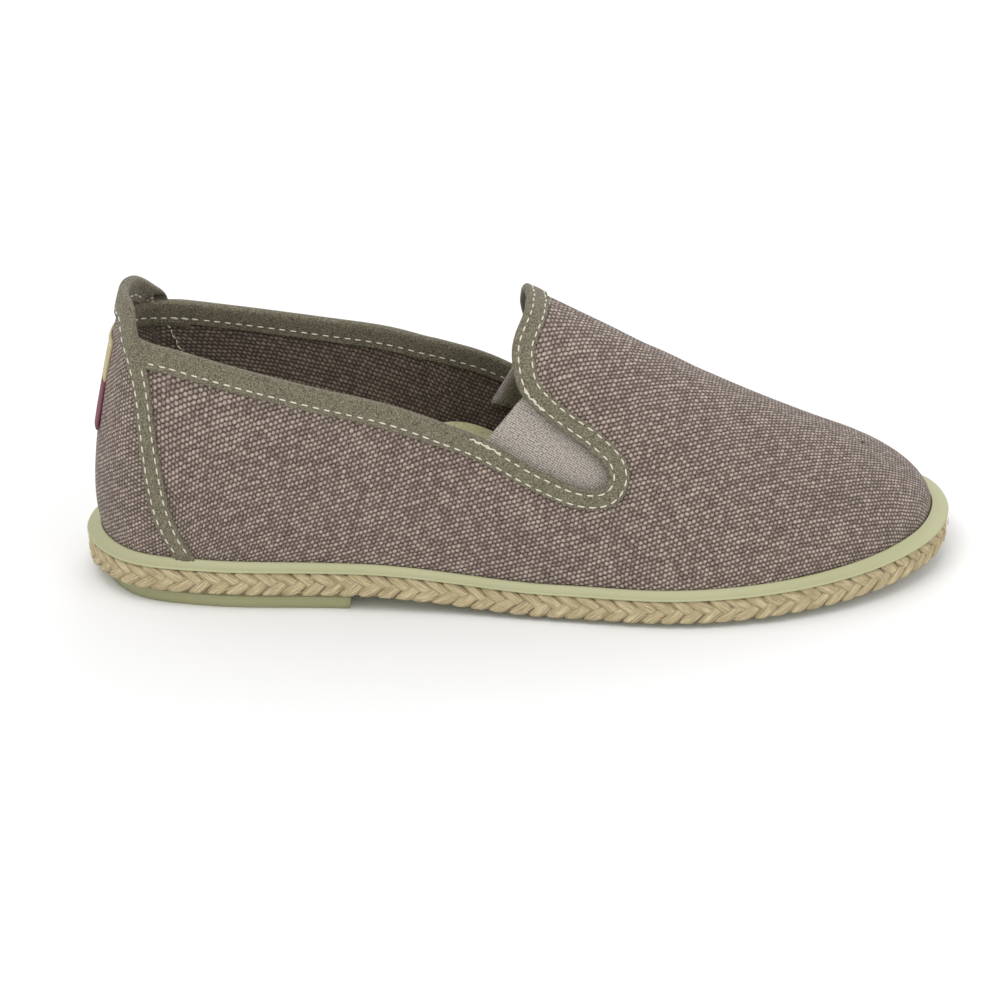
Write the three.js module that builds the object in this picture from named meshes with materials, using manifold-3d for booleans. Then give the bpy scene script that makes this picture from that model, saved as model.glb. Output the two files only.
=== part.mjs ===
// A right-foot slip-on canvas espadrille: a moulded rubber sole with a jute braid round its side,
// a canvas upper bound with tape, elastic gores at both sides and a taped heel panel with a pull tab.
// +X runs from heel to toe, +Y to the medial side (towards the other foot), +Z up. Millimetres.
import * as THREE from "three";
import { mergeVertices } from "three/addons/utils/BufferGeometryUtils.js";
import Module from "manifold-3d";

const wasm = await Module();
wasm.setup();

// Driving sizes
const soleLength = 284;
const heelWidth = 69;
const waistWidth = 74;
const ballWidth = 100;
const heelLift = 5.5; // height of the heel block under the braid
const foreLift = 1.5; // height of the forefoot tread under the braid
const toeSpring = 4; // rise of the toe's tip
const bandHeight = 9.5; // sole side from the bottom edge to the rim
const ledgeRise = 1.9; // how far the rim climbs inwards to the canvas
const seatStep = 0.2; // the seat of the upper above the rim's outer edge
const ledgeWidth = 3.5; // from the sole's edge in to the canvas at the ball
const footGap = 0.42; // from the seat up to the canvas
const lipGap = 0.5; // from the canvas to the lip that holds it
const flangeThickness = 0.8;
const edgeRadius = 0.4;
const channelDepth = 2.6;
const slabTuck = 1; // how far the slab's foot draws in under the channel
const baseInset = 4.4; // how far the tread stands in from the sole's edge at the ball
const baseTaper = 0.6; // how far the heel block and the tread narrow towards the floor
const grooveHeight = 0.5; // the groove between the heel block and the braid
const grooveDepth = 1;
const heelBlockLength = 87.5;
const ballStart = 150.5; // from the heel's back to where the waist comes down to the tread
const springStart = 176; // from the heel's back to where the toe starts to rise
const instepRise = 81; // from the seat at the heel to the ridge at the throat
const wallLean = 2.6; // how far the canvas leans out from its foot at the waist
const collarCant = 0.086; // fall of the collar towards the medial side at the heel, mm per mm across
const throatCant = 0.017; // the same at the gores and the throat
const canvasThickness = 1.3;
const tapeThickness = 0.8;
const tapeWidth = 7.9; // what shows of the binding on the outside
const elasticThickness = 1.2;
const goreOverlap = 6; // how far the elastic runs on behind the canvas
const insoleThickness = 4;
const insoleEdge = 2.5; // from the last's surface to the insole's side
const insoleRound = 0.7;
const braidPitch = 5.8;
const braidRelief = 0.8;
const braidInset = 0.1;
const braidGap = 0.5; // from the strands' backs to the channel's wall
const labelWidth = 16;
const labelHeight = 31;
const labelThickness = 0.9;
const labelTop = 0.84; // share of the instep rise
const labelStand = 2.2; // how far the tab's free end stands off
const labelBend = 1.3; // power of the tab's bend
const clearance = 0.3;
const reachAcross = 70; // half the width of the solids that cut through the shoe from side to side
const reachBehind = 30;

const colours = {
  canvas: 0x80706a,
  tape: 0x7d7967,
  elastic: 0xaaa19c,
  rubber: 0xc3c6a0,
  jute: 0xcdb68a,
  insole: 0x96915f,
  label: 0x7a3148,
};

const stationsPerRow = 3;

// One row for each section of the sole and the last, from the heel's back to the toe's tip.
// at: share of the length. lateral, medial: shares of the width named in across.
// ledge, tuck and base: how far the canvas, the slab's foot, and the heel block and tread stand in,
// as shares of their named sizes.
const soleRows = [
  { at: 0.0, across: heelWidth, lateral: 0.0, medial: 0.0, ledge: 1.51, tuck: 1.0, base: 1.27 },
  { at: 0.014, across: heelWidth, lateral: 0.222, medial: 0.232, ledge: 1.43, tuck: 0.9, base: 1.18 },
  { at: 0.056, across: heelWidth, lateral: 0.41, medial: 0.406, ledge: 1.29, tuck: 0.7, base: 0.91 },
  { at: 0.148, across: heelWidth, lateral: 0.504, medial: 0.493, ledge: 1.09, tuck: 0.4, base: 0.64 },
  { at: 0.282, across: waistWidth, lateral: 0.496, medial: 0.446, ledge: 0.97, tuck: 0.3, base: 0.64 },
  { at: 0.415, across: waistWidth, lateral: 0.538, medial: 0.466, ledge: 0.91, tuck: 0.3, base: 0.73 },
  { at: 0.546, across: ballWidth, lateral: 0.454, medial: 0.42, ledge: 0.94, tuck: 0.3, base: 0.91 },
  { at: 0.669, across: ballWidth, lateral: 0.5, medial: 0.495, ledge: 1.00, tuck: 0.4, base: 1.00 },
  { at: 0.775, across: ballWidth, lateral: 0.47, medial: 0.51, ledge: 1.11, tuck: 0.7, base: 1.14 },
  { at: 0.866, across: ballWidth, lateral: 0.38, medial: 0.48, ledge: 1.29, tuck: 1.1, base: 1.36 },
  { at: 0.937, across: ballWidth, lateral: 0.246, medial: 0.411, ledge: 1.49, tuck: 1.5, base: 1.64 },
  { at: 0.982, across: ballWidth, lateral: 0.086, medial: 0.314, ledge: 1.66, tuck: 1.8, base: 1.86 },
  { at: 1.0, across: ballWidth, lateral: -0.116, medial: 0.116, ledge: 1.71, tuck: 1.9, base: 1.95 },
];

// The same rows for the last's crown: the shaft's mouth, then the ridge from the throat to the toe.
// at: share of the length. side, half: shares of the ball width, the crown's middle and half width.
// high: share of the instep rise above the seat.
const crownRows = [
  { at: 0.067, side: 0.0, half: 0.0, high: 1.22 },
  { at: 0.07, side: 0.0, half: 0.07, high: 1.22 },
  { at: 0.089, side: 0.0, half: 0.145, high: 1.22 },
  { at: 0.17, side: -0.005, half: 0.205, high: 1.22 },
  { at: 0.28, side: -0.008, half: 0.23, high: 1.22 },
  { at: 0.4, side: -0.004, half: 0.19, high: 1.22 },
  { at: 0.482, side: 0.002, half: 0.0, high: 1.044 },
  { at: 0.628, side: 0.008, half: 0.0, high: 0.774 },
  { at: 0.735, side: 0.022, half: 0.0, high: 0.572 },
  { at: 0.82, side: 0.045, half: 0.0, high: 0.422 },
  { at: 0.861, side: 0.066, half: 0.0, high: 0.349 },
  { at: 0.884, side: 0.078, half: 0.0, high: 0.305 },
  { at: 0.895, side: 0.082, half: 0.0, high: 0.281 },
];

// The same rows for the last's sides, each a cubic curve from the canvas's foot up to the crown.
// lean: how far its lower handle stands outwards, as a share of the wall's lean. wall: how far up that
// handle is, as a share of the height. reach, drop: where its upper handle stands from the crown,
// outwards as a share of the ball width and downwards as a share of the height.
const sideRows = [
  { lean: 2.42, wall: 0.22, reach: 0.087, drop: 0.337 },
  { lean: 2.27, wall: 0.22, reach: 0.087, drop: 0.337 },
  { lean: 2.04, wall: 0.22, reach: 0.087, drop: 0.337 },
  { lean: 1.00, wall: 0.32, reach: 0.06, drop: 0.36 },
  { lean: 0.77, wall: 0.34, reach: 0.08, drop: 0.34 },
  { lean: 1.00, wall: 0.36, reach: 0.14, drop: 0.26 },
  { lean: 1.00, wall: 0.44, reach: 0.245, drop: 0.0 },
  { lean: 0.92, wall: 0.44, reach: 0.215, drop: 0.0 },
  { lean: 0.85, wall: 0.46, reach: 0.185, drop: 0.0 },
  { lean: 0.65, wall: 0.48, reach: 0.155, drop: 0.0 },
  { lean: 0.42, wall: 0.45, reach: 0.175, drop: 0.0 },
  { lean: 0.35, wall: 0.41, reach: 0.17, drop: 0.0 },
  { lean: 0.33, wall: 0.4, reach: 0.16, drop: 0.0 },
];

const lastRow = soleRows.length - 1;
const sideStations = lastRow * stationsPerRow;
const aroundStations = 2 * sideStations;
const openRow = 6; // the shaft is open behind this row, and the two sides meet in a ridge before it
const openStations = openRow * stationsPerRow;

// Rows in the order of one walk round the shoe: heel, lateral side, toe, medial side.
function walk(rows) {
  return [...rows, ...rows.slice(1, -1).reverse()];
}

// A table column read at every station of the walk, smooth from row to row.
function column(rows, name) {
  const values = walk(rows).map((row) => row[name]);
  const count = values.length;
  const out = [];
  for (let i = 0; i < aroundStations; i++) {
    const row = Math.floor(i / stationsPerRow);
    const t = (i % stationsPerRow) / stationsPerRow;
    const [a, b, c, d] = [-1, 0, 1, 2].map((step) => values[(row + step + count) % count]);
    const into = (c - a) / 2;
    const outOf = (d - b) / 2;
    const square = 3 * (c - b) - 2 * into - outOf;
    const cube = 2 * (b - c) + into + outOf;
    out.push(b + into * t + square * t ** 2 + cube * t ** 3);
  }
  return out;
}

// The sole's edge seen from above: a smooth closed curve through the rows' lateral and medial points.
function soleOutline() {
  const points = soleRows.map((r) => new THREE.Vector3(r.at * soleLength, -r.lateral * r.across, 0));
  const back = soleRows.slice(1, -1).reverse();
  points.push(...back.map((r) => new THREE.Vector3(r.at * soleLength, r.medial * r.across, 0)));
  const curve = new THREE.CatmullRomCurve3(points, true, "centripetal");
  return Array.from({ length: aroundStations }, (_, i) => curve.getPoint(i / aroundStations));
}

// Outward level directions of a closed walk.
function outwards(points) {
  return points.map((_, i) => {
    const before = points[(i + points.length - 1) % points.length];
    const after = points[(i + 1) % points.length];
    return new THREE.Vector3(after.y - before.y, before.x - after.x, 0).normalize();
  });
}

const outline = soleOutline();
const outlineOut = outwards(outline);
const ledge = column(soleRows, "ledge").map((share) => share * ledgeWidth);
const tuck = column(soleRows, "tuck").map((share) => share * slabTuck);
const base = column(soleRows, "base").map((share) => share * baseInset);

// Height of the sole's bottom edge, from the heel over the waist to the sprung toe.
function bottomEdge(x) {
  const fall = THREE.MathUtils.smoothstep(x, heelBlockLength, ballStart);
  return heelLift + (foreLift - heelLift) * fall + spring(x);
}
function spring(x) {
  const past = THREE.MathUtils.clamp((x - springStart) / (soleLength - springStart), 0, 1);
  return toeSpring * past ** 2;
}
const rimEdge = (x) => bottomEdge(x) + bandHeight;
const seatHeight = (x) => rimEdge(x) + seatStep;
const canvasFoot = (x) => seatHeight(x) + footGap;
const canvasLine = (x) => rimEdge(x) + ledgeRise;

// Rings of equal length joined in order, then the last to the first. skip leaves a quad out and
// flip turns its diagonal.
function tube(rings, skip = () => false, flip = () => false) {
  const count = rings[0].length;
  const index = [];
  for (let r = 0; r < rings.length; r++) {
    const low = r * count;
    const high = ((r + 1) % rings.length) * count;
    for (let i = 0; i < count; i++) {
      const next = (i + 1) % count;
      if (!skip(r, i)) index.push(...quad([low + i, low + next, high + next, high + i], flip(r)));
    }
  }
  return toSolid(rings, index);
}

function quad([a, b, c, d], flipped = false) {
  return flipped ? [a, b, d, b, c, d] : [a, b, c, a, c, d];
}

// Rings joined in order and closed below and above by rungs from the lateral to the medial side.
function stack(rings) {
  const count = rings[0].length;
  const top = (rings.length - 1) * count;
  const index = [];
  for (let r = 0; r < rings.length - 1; r++) {
    const low = r * count;
    for (let i = 0; i < count; i++) {
      const next = (i + 1) % count;
      index.push(...quad([low + i, low + next, low + count + next, low + count + i]));
    }
  }
  for (let i = 0; i < count / 2; i++) {
    const across = (count - i) % count;
    const ahead = count - i - 1;
    index.push(...quad([i, across, ahead, i + 1]));
    index.push(...quad([top + i, top + i + 1, top + ahead, top + across]));
  }
  return toSolid(rings, index);
}

function toSolid(rings, index) {
  const geometry = new THREE.BufferGeometry();
  const positions = rings.flat().flatMap((p) => [p.x, p.y, p.z]);
  geometry.setAttribute("position", new THREE.Float32BufferAttribute(positions, 3));
  geometry.setIndex(index);
  return solidOf(geometry);
}

function solidOf(geometry) {
  const bare = geometry.clone();
  bare.deleteAttribute("normal");
  bare.deleteAttribute("uv");
  const merged = mergeVertices(bare, 1e-4);
  const kept = [];
  const all = merged.index.array;
  for (let i = 0; i < all.length; i += 3) {
    const [a, b, c] = [all[i], all[i + 1], all[i + 2]];
    if (a !== b && b !== c && c !== a) kept.push(a, b, c);
  }
  return new wasm.Manifold(
    new wasm.Mesh({
      numProp: 3,
      vertProperties: new Float32Array(merged.attributes.position.array),
      triVerts: new Uint32Array(kept),
    }),
  );
}

// The sole's outline drawn in by a distance, at a height that follows the sole.
function soleRing(inset, height) {
  return outline.map((p, i) => {
    const by = typeof inset === "number" ? inset : inset[i];
    const moved = p.clone().addScaledVector(outlineOut[i], -by);
    return moved.setZ(height(moved.x));
  });
}

// The last's surface: station i round the shoe, share v from the canvas's foot to the crown.
const columns = (rows, names) => Object.fromEntries(names.map((name) => [name, column(rows, name)]));
const crown = columns(crownRows, ["at", "side", "half", "high"]);
const side = columns(sideRows, ["lean", "wall", "reach", "drop"]);
side.lean = side.lean.map((share) => share * wallLean);
const foot = soleRing(ledge, canvasFoot);
const footOut = outwards(foot);
const seatAtHeel = heelLift + bandHeight + seatStep;
const riseTo = (share) => seatAtHeel + share * instepRise;

const crownEnds = outline.map((_, i) => {
  const turn = Math.sign(i % sideStations) * (i < sideStations ? -1 : 1);
  const half = Math.max(0, crown.half[i]) * ballWidth;
  const across = crown.side[i] * ballWidth + turn * half;
  return new THREE.Vector3(crown.at[i] * soleLength, across, riseTo(crown.high[i]));
});

// The level direction along the ridge of the vamp, tipped to the ridge's own slope.
function ridgeDirection(i) {
  const k = i > sideStations ? aroundStations - i : i;
  if (k < openStations) return new THREE.Vector3(1, 0, 0);
  const ahead = crownEnds[Math.min(k + 1, sideStations)];
  const behind = crownEnds[Math.max(k - 1, openStations)];
  return ahead.clone().sub(behind).setY(0).normalize();
}

function ribHandles(i) {
  const start = foot[i];
  const end = crownEnds[i];
  const height = end.z - start.z;
  const wall = start.clone().addScaledVector(footOut[i], side.lean[i]);
  wall.z += side.wall[i] * height;
  const reach = side.reach[i] * ballWidth;
  const shoulder = end.clone().addScaledVector(ridgeDirection(i), reach * footOut[i].x);
  shoulder.y += reach * footOut[i].y;
  shoulder.z -= side.drop[i] * height;
  return [start, wall, shoulder, end];
}

const ribSteps = 7;
function surfaceGrid() {
  const grid = [];
  for (let j = 0; j <= ribSteps; j++) {
    grid.push(
      outline.map((_, i) => {
        const [a, b, c, d] = ribHandles(i);
        return new THREE.CubicBezierCurve3(a, b, c, d).getPoint(j / ribSteps);
      }),
    );
  }
  return grid;
}
const grid = surfaceGrid();

// Outward directions of the last's surface. Both sides share them along the ridge.
function surfaceNormals() {
  const normals = grid.map((ring, j) =>
    ring.map((_, i) => {
      const before = ring[(i + aroundStations - 1) % aroundStations];
      const along = ring[(i + 1) % aroundStations].clone().sub(before);
      const above = grid[Math.min(j + 1, ribSteps)][i].clone().sub(grid[Math.max(j - 1, 0)][i]);
      return along.cross(above).normalize();
    }),
  );
  const top = normals[ribSteps];
  for (let i = 1; i < sideStations; i++) {
    const other = aroundStations - i;
    if (grid[ribSteps][i].distanceTo(grid[ribSteps][other]) > 1e-6) continue;
    const shared = top[i].clone().add(top[other]).setY(0).normalize();
    top[i] = shared;
    top[other] = shared;
  }
  top[sideStations] = top[sideStations - 1].clone();
  return normals;
}
const normals = surfaceNormals();

function offsetRing(j, distance) {
  return grid[j].map((p, i) => p.clone().addScaledVector(normals[j][i], distance));
}

// The wall between two distances from the last's surface, open at the shaft and underneath.
const shells = new Map();
function shell(outside, inside) {
  const key = `${outside.toFixed(3)} ${inside.toFixed(3)}`;
  if (!shells.has(key)) {
    const steps = Array.from({ length: ribSteps + 1 }, (_, j) => j);
    const outer = steps.map((j) => offsetRing(j, outside));
    const inner = steps.map((j) => offsetRing(j, inside)).reverse();
    const ridge = (i) => i >= openStations && i <= aroundStations - openStations;
    const closed = (r, i) => r === ribSteps && ridge(i) && ridge(i + 1);
    shells.set(key, tube([...outer, ...inner], closed, (r) => r > ribSteps));
  }
  return shells.get(key);
}

// The bound edge of the upper seen from the side: over the pull tab, along the collar, down and round
// the gore and up the throat. along: share of the length. high: share of the instep rise above the
// seat. tape: how much of the binding shows on the outside, as a share of its named width.
const rimRows = [
  { along: 0.014, high: 1.02, tape: 1.1 },
  { along: 0.046, high: 1.052, tape: 1.12 },
  { along: 0.066, high: 1.043, tape: 1.12 },
  { along: 0.078, high: 0.988, tape: 1.08 },
  { along: 0.086, high: 0.915, tape: 1.04 },
  { along: 0.116, high: 0.869, tape: 1.02 },
  { along: 0.18, high: 0.82, tape: 1.0 },
  { along: 0.275, high: 0.752, tape: 1.0 },
  { along: 0.352, high: 0.696, tape: 1.0 },
  { along: 0.416, high: 0.62, tape: 0.97 },
  { along: 0.458, high: 0.56, tape: 0.93 },
  { along: 0.521, high: 0.433, tape: 0.85 },
  { along: 0.57, high: 0.367, tape: 0.83 },
  { along: 0.593, high: 0.375, tape: 0.85 },
  { along: 0.596, high: 0.43, tape: 0.87 },
  { along: 0.576, high: 0.506, tape: 0.85 },
  { along: 0.528, high: 0.626, tape: 0.83 },
  { along: 0.499, high: 0.723, tape: 0.88 },
  { along: 0.491, high: 0.806, tape: 0.92 },
  { along: 0.491, high: 0.899, tape: 0.92 },
  { along: 0.5, high: 0.991, tape: 0.92 },
  { along: 0.518, high: 1.084, tape: 0.92 },
];
const goreFrom = 10; // rows of the rim between which the elastic runs
const goreTo = 17;
const rimSteps = 2;

const sidePoint = (row) => new THREE.Vector3(row.along * soleLength, riseTo(row.high), 0);
const rimCurve = new THREE.CatmullRomCurve3(rimRows.map(sidePoint), false, "centripetal");
const rimSamples = (rimRows.length - 1) * rimSteps;

// The rim moved into the canvas by a distance, from one row of the table to another.
function rimLine(distance, first = 0, last = rimRows.length - 1) {
  const line = [];
  for (let k = first * rimSteps; k <= last * rimSteps; k++) {
    const t = k / rimSamples;
    const tangent = rimCurve.getTangent(t);
    const row = Math.min(Math.floor(k / rimSteps), rimRows.length - 2);
    const share = k / rimSteps - row;
    const tape = THREE.MathUtils.lerp(rimRows[row].tape, rimRows[row + 1].tape, share);
    const by = typeof distance === "function" ? distance(tape) : distance;
    const p = rimCurve.getPoint(t);
    line.push(new THREE.Vector2(p.x + tangent.y * by, p.y - tangent.x * by));
  }
  return line;
}

// A solid with a side-view outline, from one distance across the foot to another. A canted one
// stands lower on the medial side.
function sideSolid(points, from, to, canted = false) {
  const settings = { depth: to - from, bevelEnabled: false };
  const geometry = new THREE.ExtrudeGeometry(new THREE.Shape(points), settings);
  geometry.rotateX(Math.PI / 2).translate(0, to, 0);
  const p = geometry.attributes.position;
  for (let i = 0; canted && i < p.count; i++) p.setZ(i, p.getZ(i) - cant(p.getX(i)) * p.getY(i));
  return solidOf(geometry);
}

// How much lower the collar runs on the medial side, for each mm across: more at the heel.
function cant(x) {
  const fade = THREE.MathUtils.smoothstep(x, 0, heelBlockLength);
  return THREE.MathUtils.lerp(collarCant, throatCant, fade);
}

const above = seatAtHeel + 1.6 * instepRise;
function opening(distance) {
  const line = rimLine(distance);
  const first = line[0];
  const last = line[line.length - 1];
  const closing = [
    new THREE.Vector2(last.x, above),
    new THREE.Vector2(-reachBehind, above),
    new THREE.Vector2(-reachBehind, first.y),
  ];
  return sideSolid([...line, ...closing], -reachAcross, reachAcross, true);
}

// Layers through the edge of the upper, counted outwards from the last's surface.
const tapeOuter = clearance + tapeThickness;
const canvasInner = -canvasThickness;
const tapeInner = canvasInner - clearance - tapeThickness;
const elasticOuter = tapeInner - clearance;
const elasticInner = elasticOuter - elasticThickness;

const bound = clearance + tapeThickness; // from the bound edge in to the canvas's cut edge
const upperSolid = shell(0, canvasInner).subtract(opening(bound));

// The binding folds over the cut edge: a skin round the canvas, as wide as the tape.
const canvasRoom = shell(clearance, canvasInner - clearance).subtract(opening(tapeThickness));
const fold = shell(tapeOuter, tapeInner)
  .intersect(opening((tape) => tape * tapeWidth))
  .subtract(opening(0))
  .subtract(canvasRoom);

// The heel tapes seen from the side: front and back edge, each a share of the length, at a height
// that is a share of the instep rise.
const heelTapeRows = [
  { high: -0.05, front: 0.138, back: 0.112 },
  { high: 0.03, front: 0.13, back: 0.101 },
  { high: 0.12, front: 0.116, back: 0.086 },
  { high: 0.25, front: 0.104, back: 0.074 },
  { high: 0.4, front: 0.095, back: 0.068 },
  { high: 0.54, front: 0.088, back: 0.063 },
  { high: 0.68, front: 0.086, back: 0.0615 },
  { high: 0.81, front: 0.0835, back: 0.057 },
  { high: 0.93, front: 0.079, back: 0.051 },
  { high: 1.0, front: 0.077, back: 0.047 },
];
function heelTapeEdge(name, shift = 0) {
  const place = (r) => new THREE.Vector3(r[name] * soleLength + shift, riseTo(r.high), 0);
  const points = heelTapeRows.map(place);
  const curve = new THREE.CatmullRomCurve3(points, false, "centripetal");
  return curve.getPoints(2 * (points.length - 1)).map((p) => new THREE.Vector2(p.x, p.y));
}
function heelZone(shift) {
  const front = heelTapeEdge("front", shift);
  const top = front[front.length - 1];
  const closing = [
    new THREE.Vector2(top.x, above),
    new THREE.Vector2(-reachBehind, above),
    new THREE.Vector2(-reachBehind, front[0].y),
  ];
  return sideSolid([...front, ...closing], -reachAcross, reachAcross);
}
const legs = sideSolid(
  [...heelTapeEdge("front"), ...heelTapeEdge("back").reverse()],
  -reachAcross,
  reachAcross,
).subtract(opening(bound));
const collarTapeSolid = fold.subtract(heelZone(clearance));
const heelTapeSolid = fold
  .intersect(heelZone(0))
  .add(shell(tapeOuter, clearance).intersect(legs))
  .subtract(soleBlock());

// The elastic behind the gore's window, with its free edge across the mouth.
function goreSolid(from, to) {
  const window = rimLine(goreOverlap, goreFrom, goreTo);
  const [back, front] = [rimRows[goreFrom], rimRows[goreTo]].map(sidePoint);
  const free = front.clone().sub(back).setLength(goreOverlap - clearance);
  const ends = [back.sub(free), front.add(free)].map((p) => new THREE.Vector2(p.x, p.y));
  const outlinePoints = [ends[0], ...window, ends[1]];
  return shell(elasticOuter, elasticInner).intersect(sideSolid(outlinePoints, from, to, true));
}

// The sole's space up to the canvas line, for trimming what stands on the rim.
function soleBlock() {
  return stack([soleRing(0, bottomEdge), soleRing(0, (x) => canvasLine(x) + clearance)]);
}

// The sole: heel block, slab with the braid's channel, flange and the lip that holds the canvas.
const slope = foot.map((p, i) => side.lean[i] / (side.wall[i] * (crownEnds[i].z - p.z)));
function footRing(distance, height) {
  return foot.map((p, i) => {
    const level = height(p.x);
    const moved = p.clone().addScaledVector(footOut[i], distance + slope[i] * (level - p.z));
    return moved.setZ(level);
  });
}
const slab = stack([
  soleRing(tuck.map((t) => channelDepth + t), bottomEdge),
  soleRing(channelDepth, (x) => rimEdge(x) - flangeThickness),
  soleRing(0, (x) => rimEdge(x) - flangeThickness),
  soleRing(0, (x) => rimEdge(x) - edgeRadius),
  soleRing(edgeRadius, rimEdge),
  footRing(lipGap + seatStep, canvasLine),
  footRing(lipGap, seatHeight),
]);

const inBase = (extra) => base.map((b) => b + extra);
const grooveInset = tuck.map((t) => channelDepth + t + grooveDepth);
function between(from, to) {
  const box = new THREE.BoxGeometry(to - from, 2 * reachAcross, 2 * bandHeight);
  return solidOf(box.translate((from + to) / 2, 0, 0));
}
const heelBlock = stack([
  soleRing(inBase(baseTaper), spring),
  soleRing(inBase(0), (x) => bottomEdge(x) - grooveHeight - 2 * edgeRadius),
  soleRing(inBase(edgeRadius), (x) => bottomEdge(x) - grooveHeight - edgeRadius),
  soleRing(grooveInset, (x) => bottomEdge(x) - grooveHeight),
  soleRing(grooveInset, (x) => bottomEdge(x) + edgeRadius),
]).intersect(between(-reachBehind, heelBlockLength));
const tread = stack([
  soleRing(inBase(baseTaper), spring),
  soleRing(inBase(0), (x) => bottomEdge(x) + edgeRadius),
]).intersect(between(ballStart, soleLength + reachBehind));
const outsoleSolid = slab.add(heelBlock).add(tread);

// The jute braid in its channel: two rows of slanted strands that meet in an arrow at mid-height.
const soleCurve = new THREE.CatmullRomCurve3(outline, true, "centripetal");
soleCurve.arcLengthDivisions = 1500;
const strands = Math.round(soleCurve.getLength() / braidPitch);
function braidSolid() {
  const around = soleCurve.getSpacedPoints(2 * strands).slice(0, -1);
  const out = outwards(around);
  const ring = (inset, height) =>
    around.map((p, i) => {
      const moved = p.clone().addScaledVector(out[i], -inset(i));
      return moved.setZ(height(moved.x));
    });
  const wave = (odd) => (i) => braidInset + (i % 2 === odd ? 0 : braidRelief);
  const low = (x) => bottomEdge(x) + braidInset;
  const high = (x) => rimEdge(x) - flangeThickness - clearance;
  const middle = (x) => (low(x) + high(x)) / 2;
  const inner = () => channelDepth - braidGap;
  const front = [ring(wave(0), low), ring(wave(1), middle), ring(wave(0), high)];
  return tube([...front, ring(inner, high), ring(inner, low)], undefined, (r) => r === 1);
}

// The insole on the sole's seat, inside the canvas.
const insoleSolid = stack([
  footRing(-insoleEdge, (x) => seatHeight(x) + clearance),
  footRing(-insoleEdge, (x) => seatHeight(x) + insoleThickness - insoleRound),
  footRing(-insoleEdge - insoleRound, (x) => seatHeight(x) + insoleThickness),
]);

// The plain tab on the heel's back: it follows the canvas at its sewn top and stands off below.
function labelSolid() {
  const top = riseTo(labelTop);
  const box = new THREE.BoxGeometry(2 * reachBehind, labelWidth, labelHeight);
  const room = solidOf(box.translate(0, 0, top - labelHeight / 2));
  const flat = geometryOf(shell(clearance + labelThickness, clearance).intersect(room));
  const p = flat.attributes.position;
  for (let i = 0; i < p.count; i++) {
    const down = (top - p.getZ(i)) / labelHeight;
    p.setX(i, p.getX(i) - labelStand * Math.max(0, down) ** labelBend);
  }
  return solidOf(flat);
}

function geometryOf(solid) {
  const mesh = solid.getMesh();
  const count = mesh.numVert;
  const positions = new Float32Array(3 * count);
  for (let i = 0; i < count; i++) {
    for (let k = 0; k < 3; k++) positions[3 * i + k] = mesh.vertProperties[i * mesh.numProp + k];
  }
  const geometry = new THREE.BufferGeometry();
  geometry.setAttribute("position", new THREE.BufferAttribute(positions, 3));
  geometry.setIndex(new THREE.BufferAttribute(new Uint32Array(mesh.triVerts), 1));
  return geometry;
}

const shoe = new THREE.Group();
shoe.name = "espadrille";
function addPiece(name, solid, colour, roughness) {
  const geometry = geometryOf(solid);
  geometry.computeVertexNormals();
  const material = new THREE.MeshStandardMaterial({ color: colour, roughness, metalness: 0 });
  const mesh = new THREE.Mesh(geometry, material);
  mesh.name = name;
  shoe.add(mesh);
}
addPiece("outsole", outsoleSolid, colours.rubber, 0.6);
addPiece("jute_braid", braidSolid(), colours.jute, 0.95);
addPiece("insole", insoleSolid, colours.insole, 0.9);
addPiece("upper", upperSolid, colours.canvas, 0.95);
addPiece("collar_tape", collarTapeSolid, colours.tape, 0.9);
addPiece("heel_tape", heelTapeSolid, colours.tape, 0.9);
addPiece("gore_lateral", goreSolid(-reachAcross, 0), colours.elastic, 0.85);
addPiece("gore_medial", goreSolid(0, reachAcross), colours.elastic, 0.85);
addPiece("heel_label", labelSolid(), colours.label, 0.8);

// The frame: middle of the foot's length and width, underside of the sole at zero.
const box = new THREE.Box3().setFromObject(shoe);
const middle = box.getCenter(new THREE.Vector3());
shoe.position.set(-middle.x, -middle.y, -box.min.z);

export default shoe;
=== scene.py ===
# A right-foot canvas espadrille: rubber sole with a jute braid, canvas upper bound with cotton tape,
# elastic gores, a taped heel with a pull tab, and a plain woven label on the heel's back.
import math

import bmesh
import bpy
import numpy as np
from mathutils import Matrix, Vector


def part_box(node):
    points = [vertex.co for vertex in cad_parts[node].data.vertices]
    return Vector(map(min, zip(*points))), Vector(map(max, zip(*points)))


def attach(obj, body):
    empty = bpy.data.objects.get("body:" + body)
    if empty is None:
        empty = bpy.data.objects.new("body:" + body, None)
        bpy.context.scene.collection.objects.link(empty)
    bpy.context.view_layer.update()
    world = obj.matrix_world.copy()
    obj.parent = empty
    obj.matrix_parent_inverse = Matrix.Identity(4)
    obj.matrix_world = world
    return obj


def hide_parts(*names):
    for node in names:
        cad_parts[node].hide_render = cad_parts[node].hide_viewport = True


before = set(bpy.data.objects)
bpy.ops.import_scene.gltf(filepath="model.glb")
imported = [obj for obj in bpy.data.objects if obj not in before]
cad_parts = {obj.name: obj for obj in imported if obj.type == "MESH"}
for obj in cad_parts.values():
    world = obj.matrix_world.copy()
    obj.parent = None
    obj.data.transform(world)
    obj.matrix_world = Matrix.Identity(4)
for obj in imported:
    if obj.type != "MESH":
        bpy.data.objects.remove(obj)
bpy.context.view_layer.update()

# The studio: a white sweep, three soft lamps and the camera low on the shoe's outer side.
# The camera stands 1.3 m off, a little above the shoe, and looks almost straight across it.
camera_distance = 1.3
camera_height_angle = math.radians(25.47)
camera_turn = math.radians(-0.773)
pixels_per_mm = 3.074
aim = Vector((0.0, -0.0005, 0.045))
aim_pixel = (520.24, 436.98)
frame_pixels = 1000
sensor_width = 36.0

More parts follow.
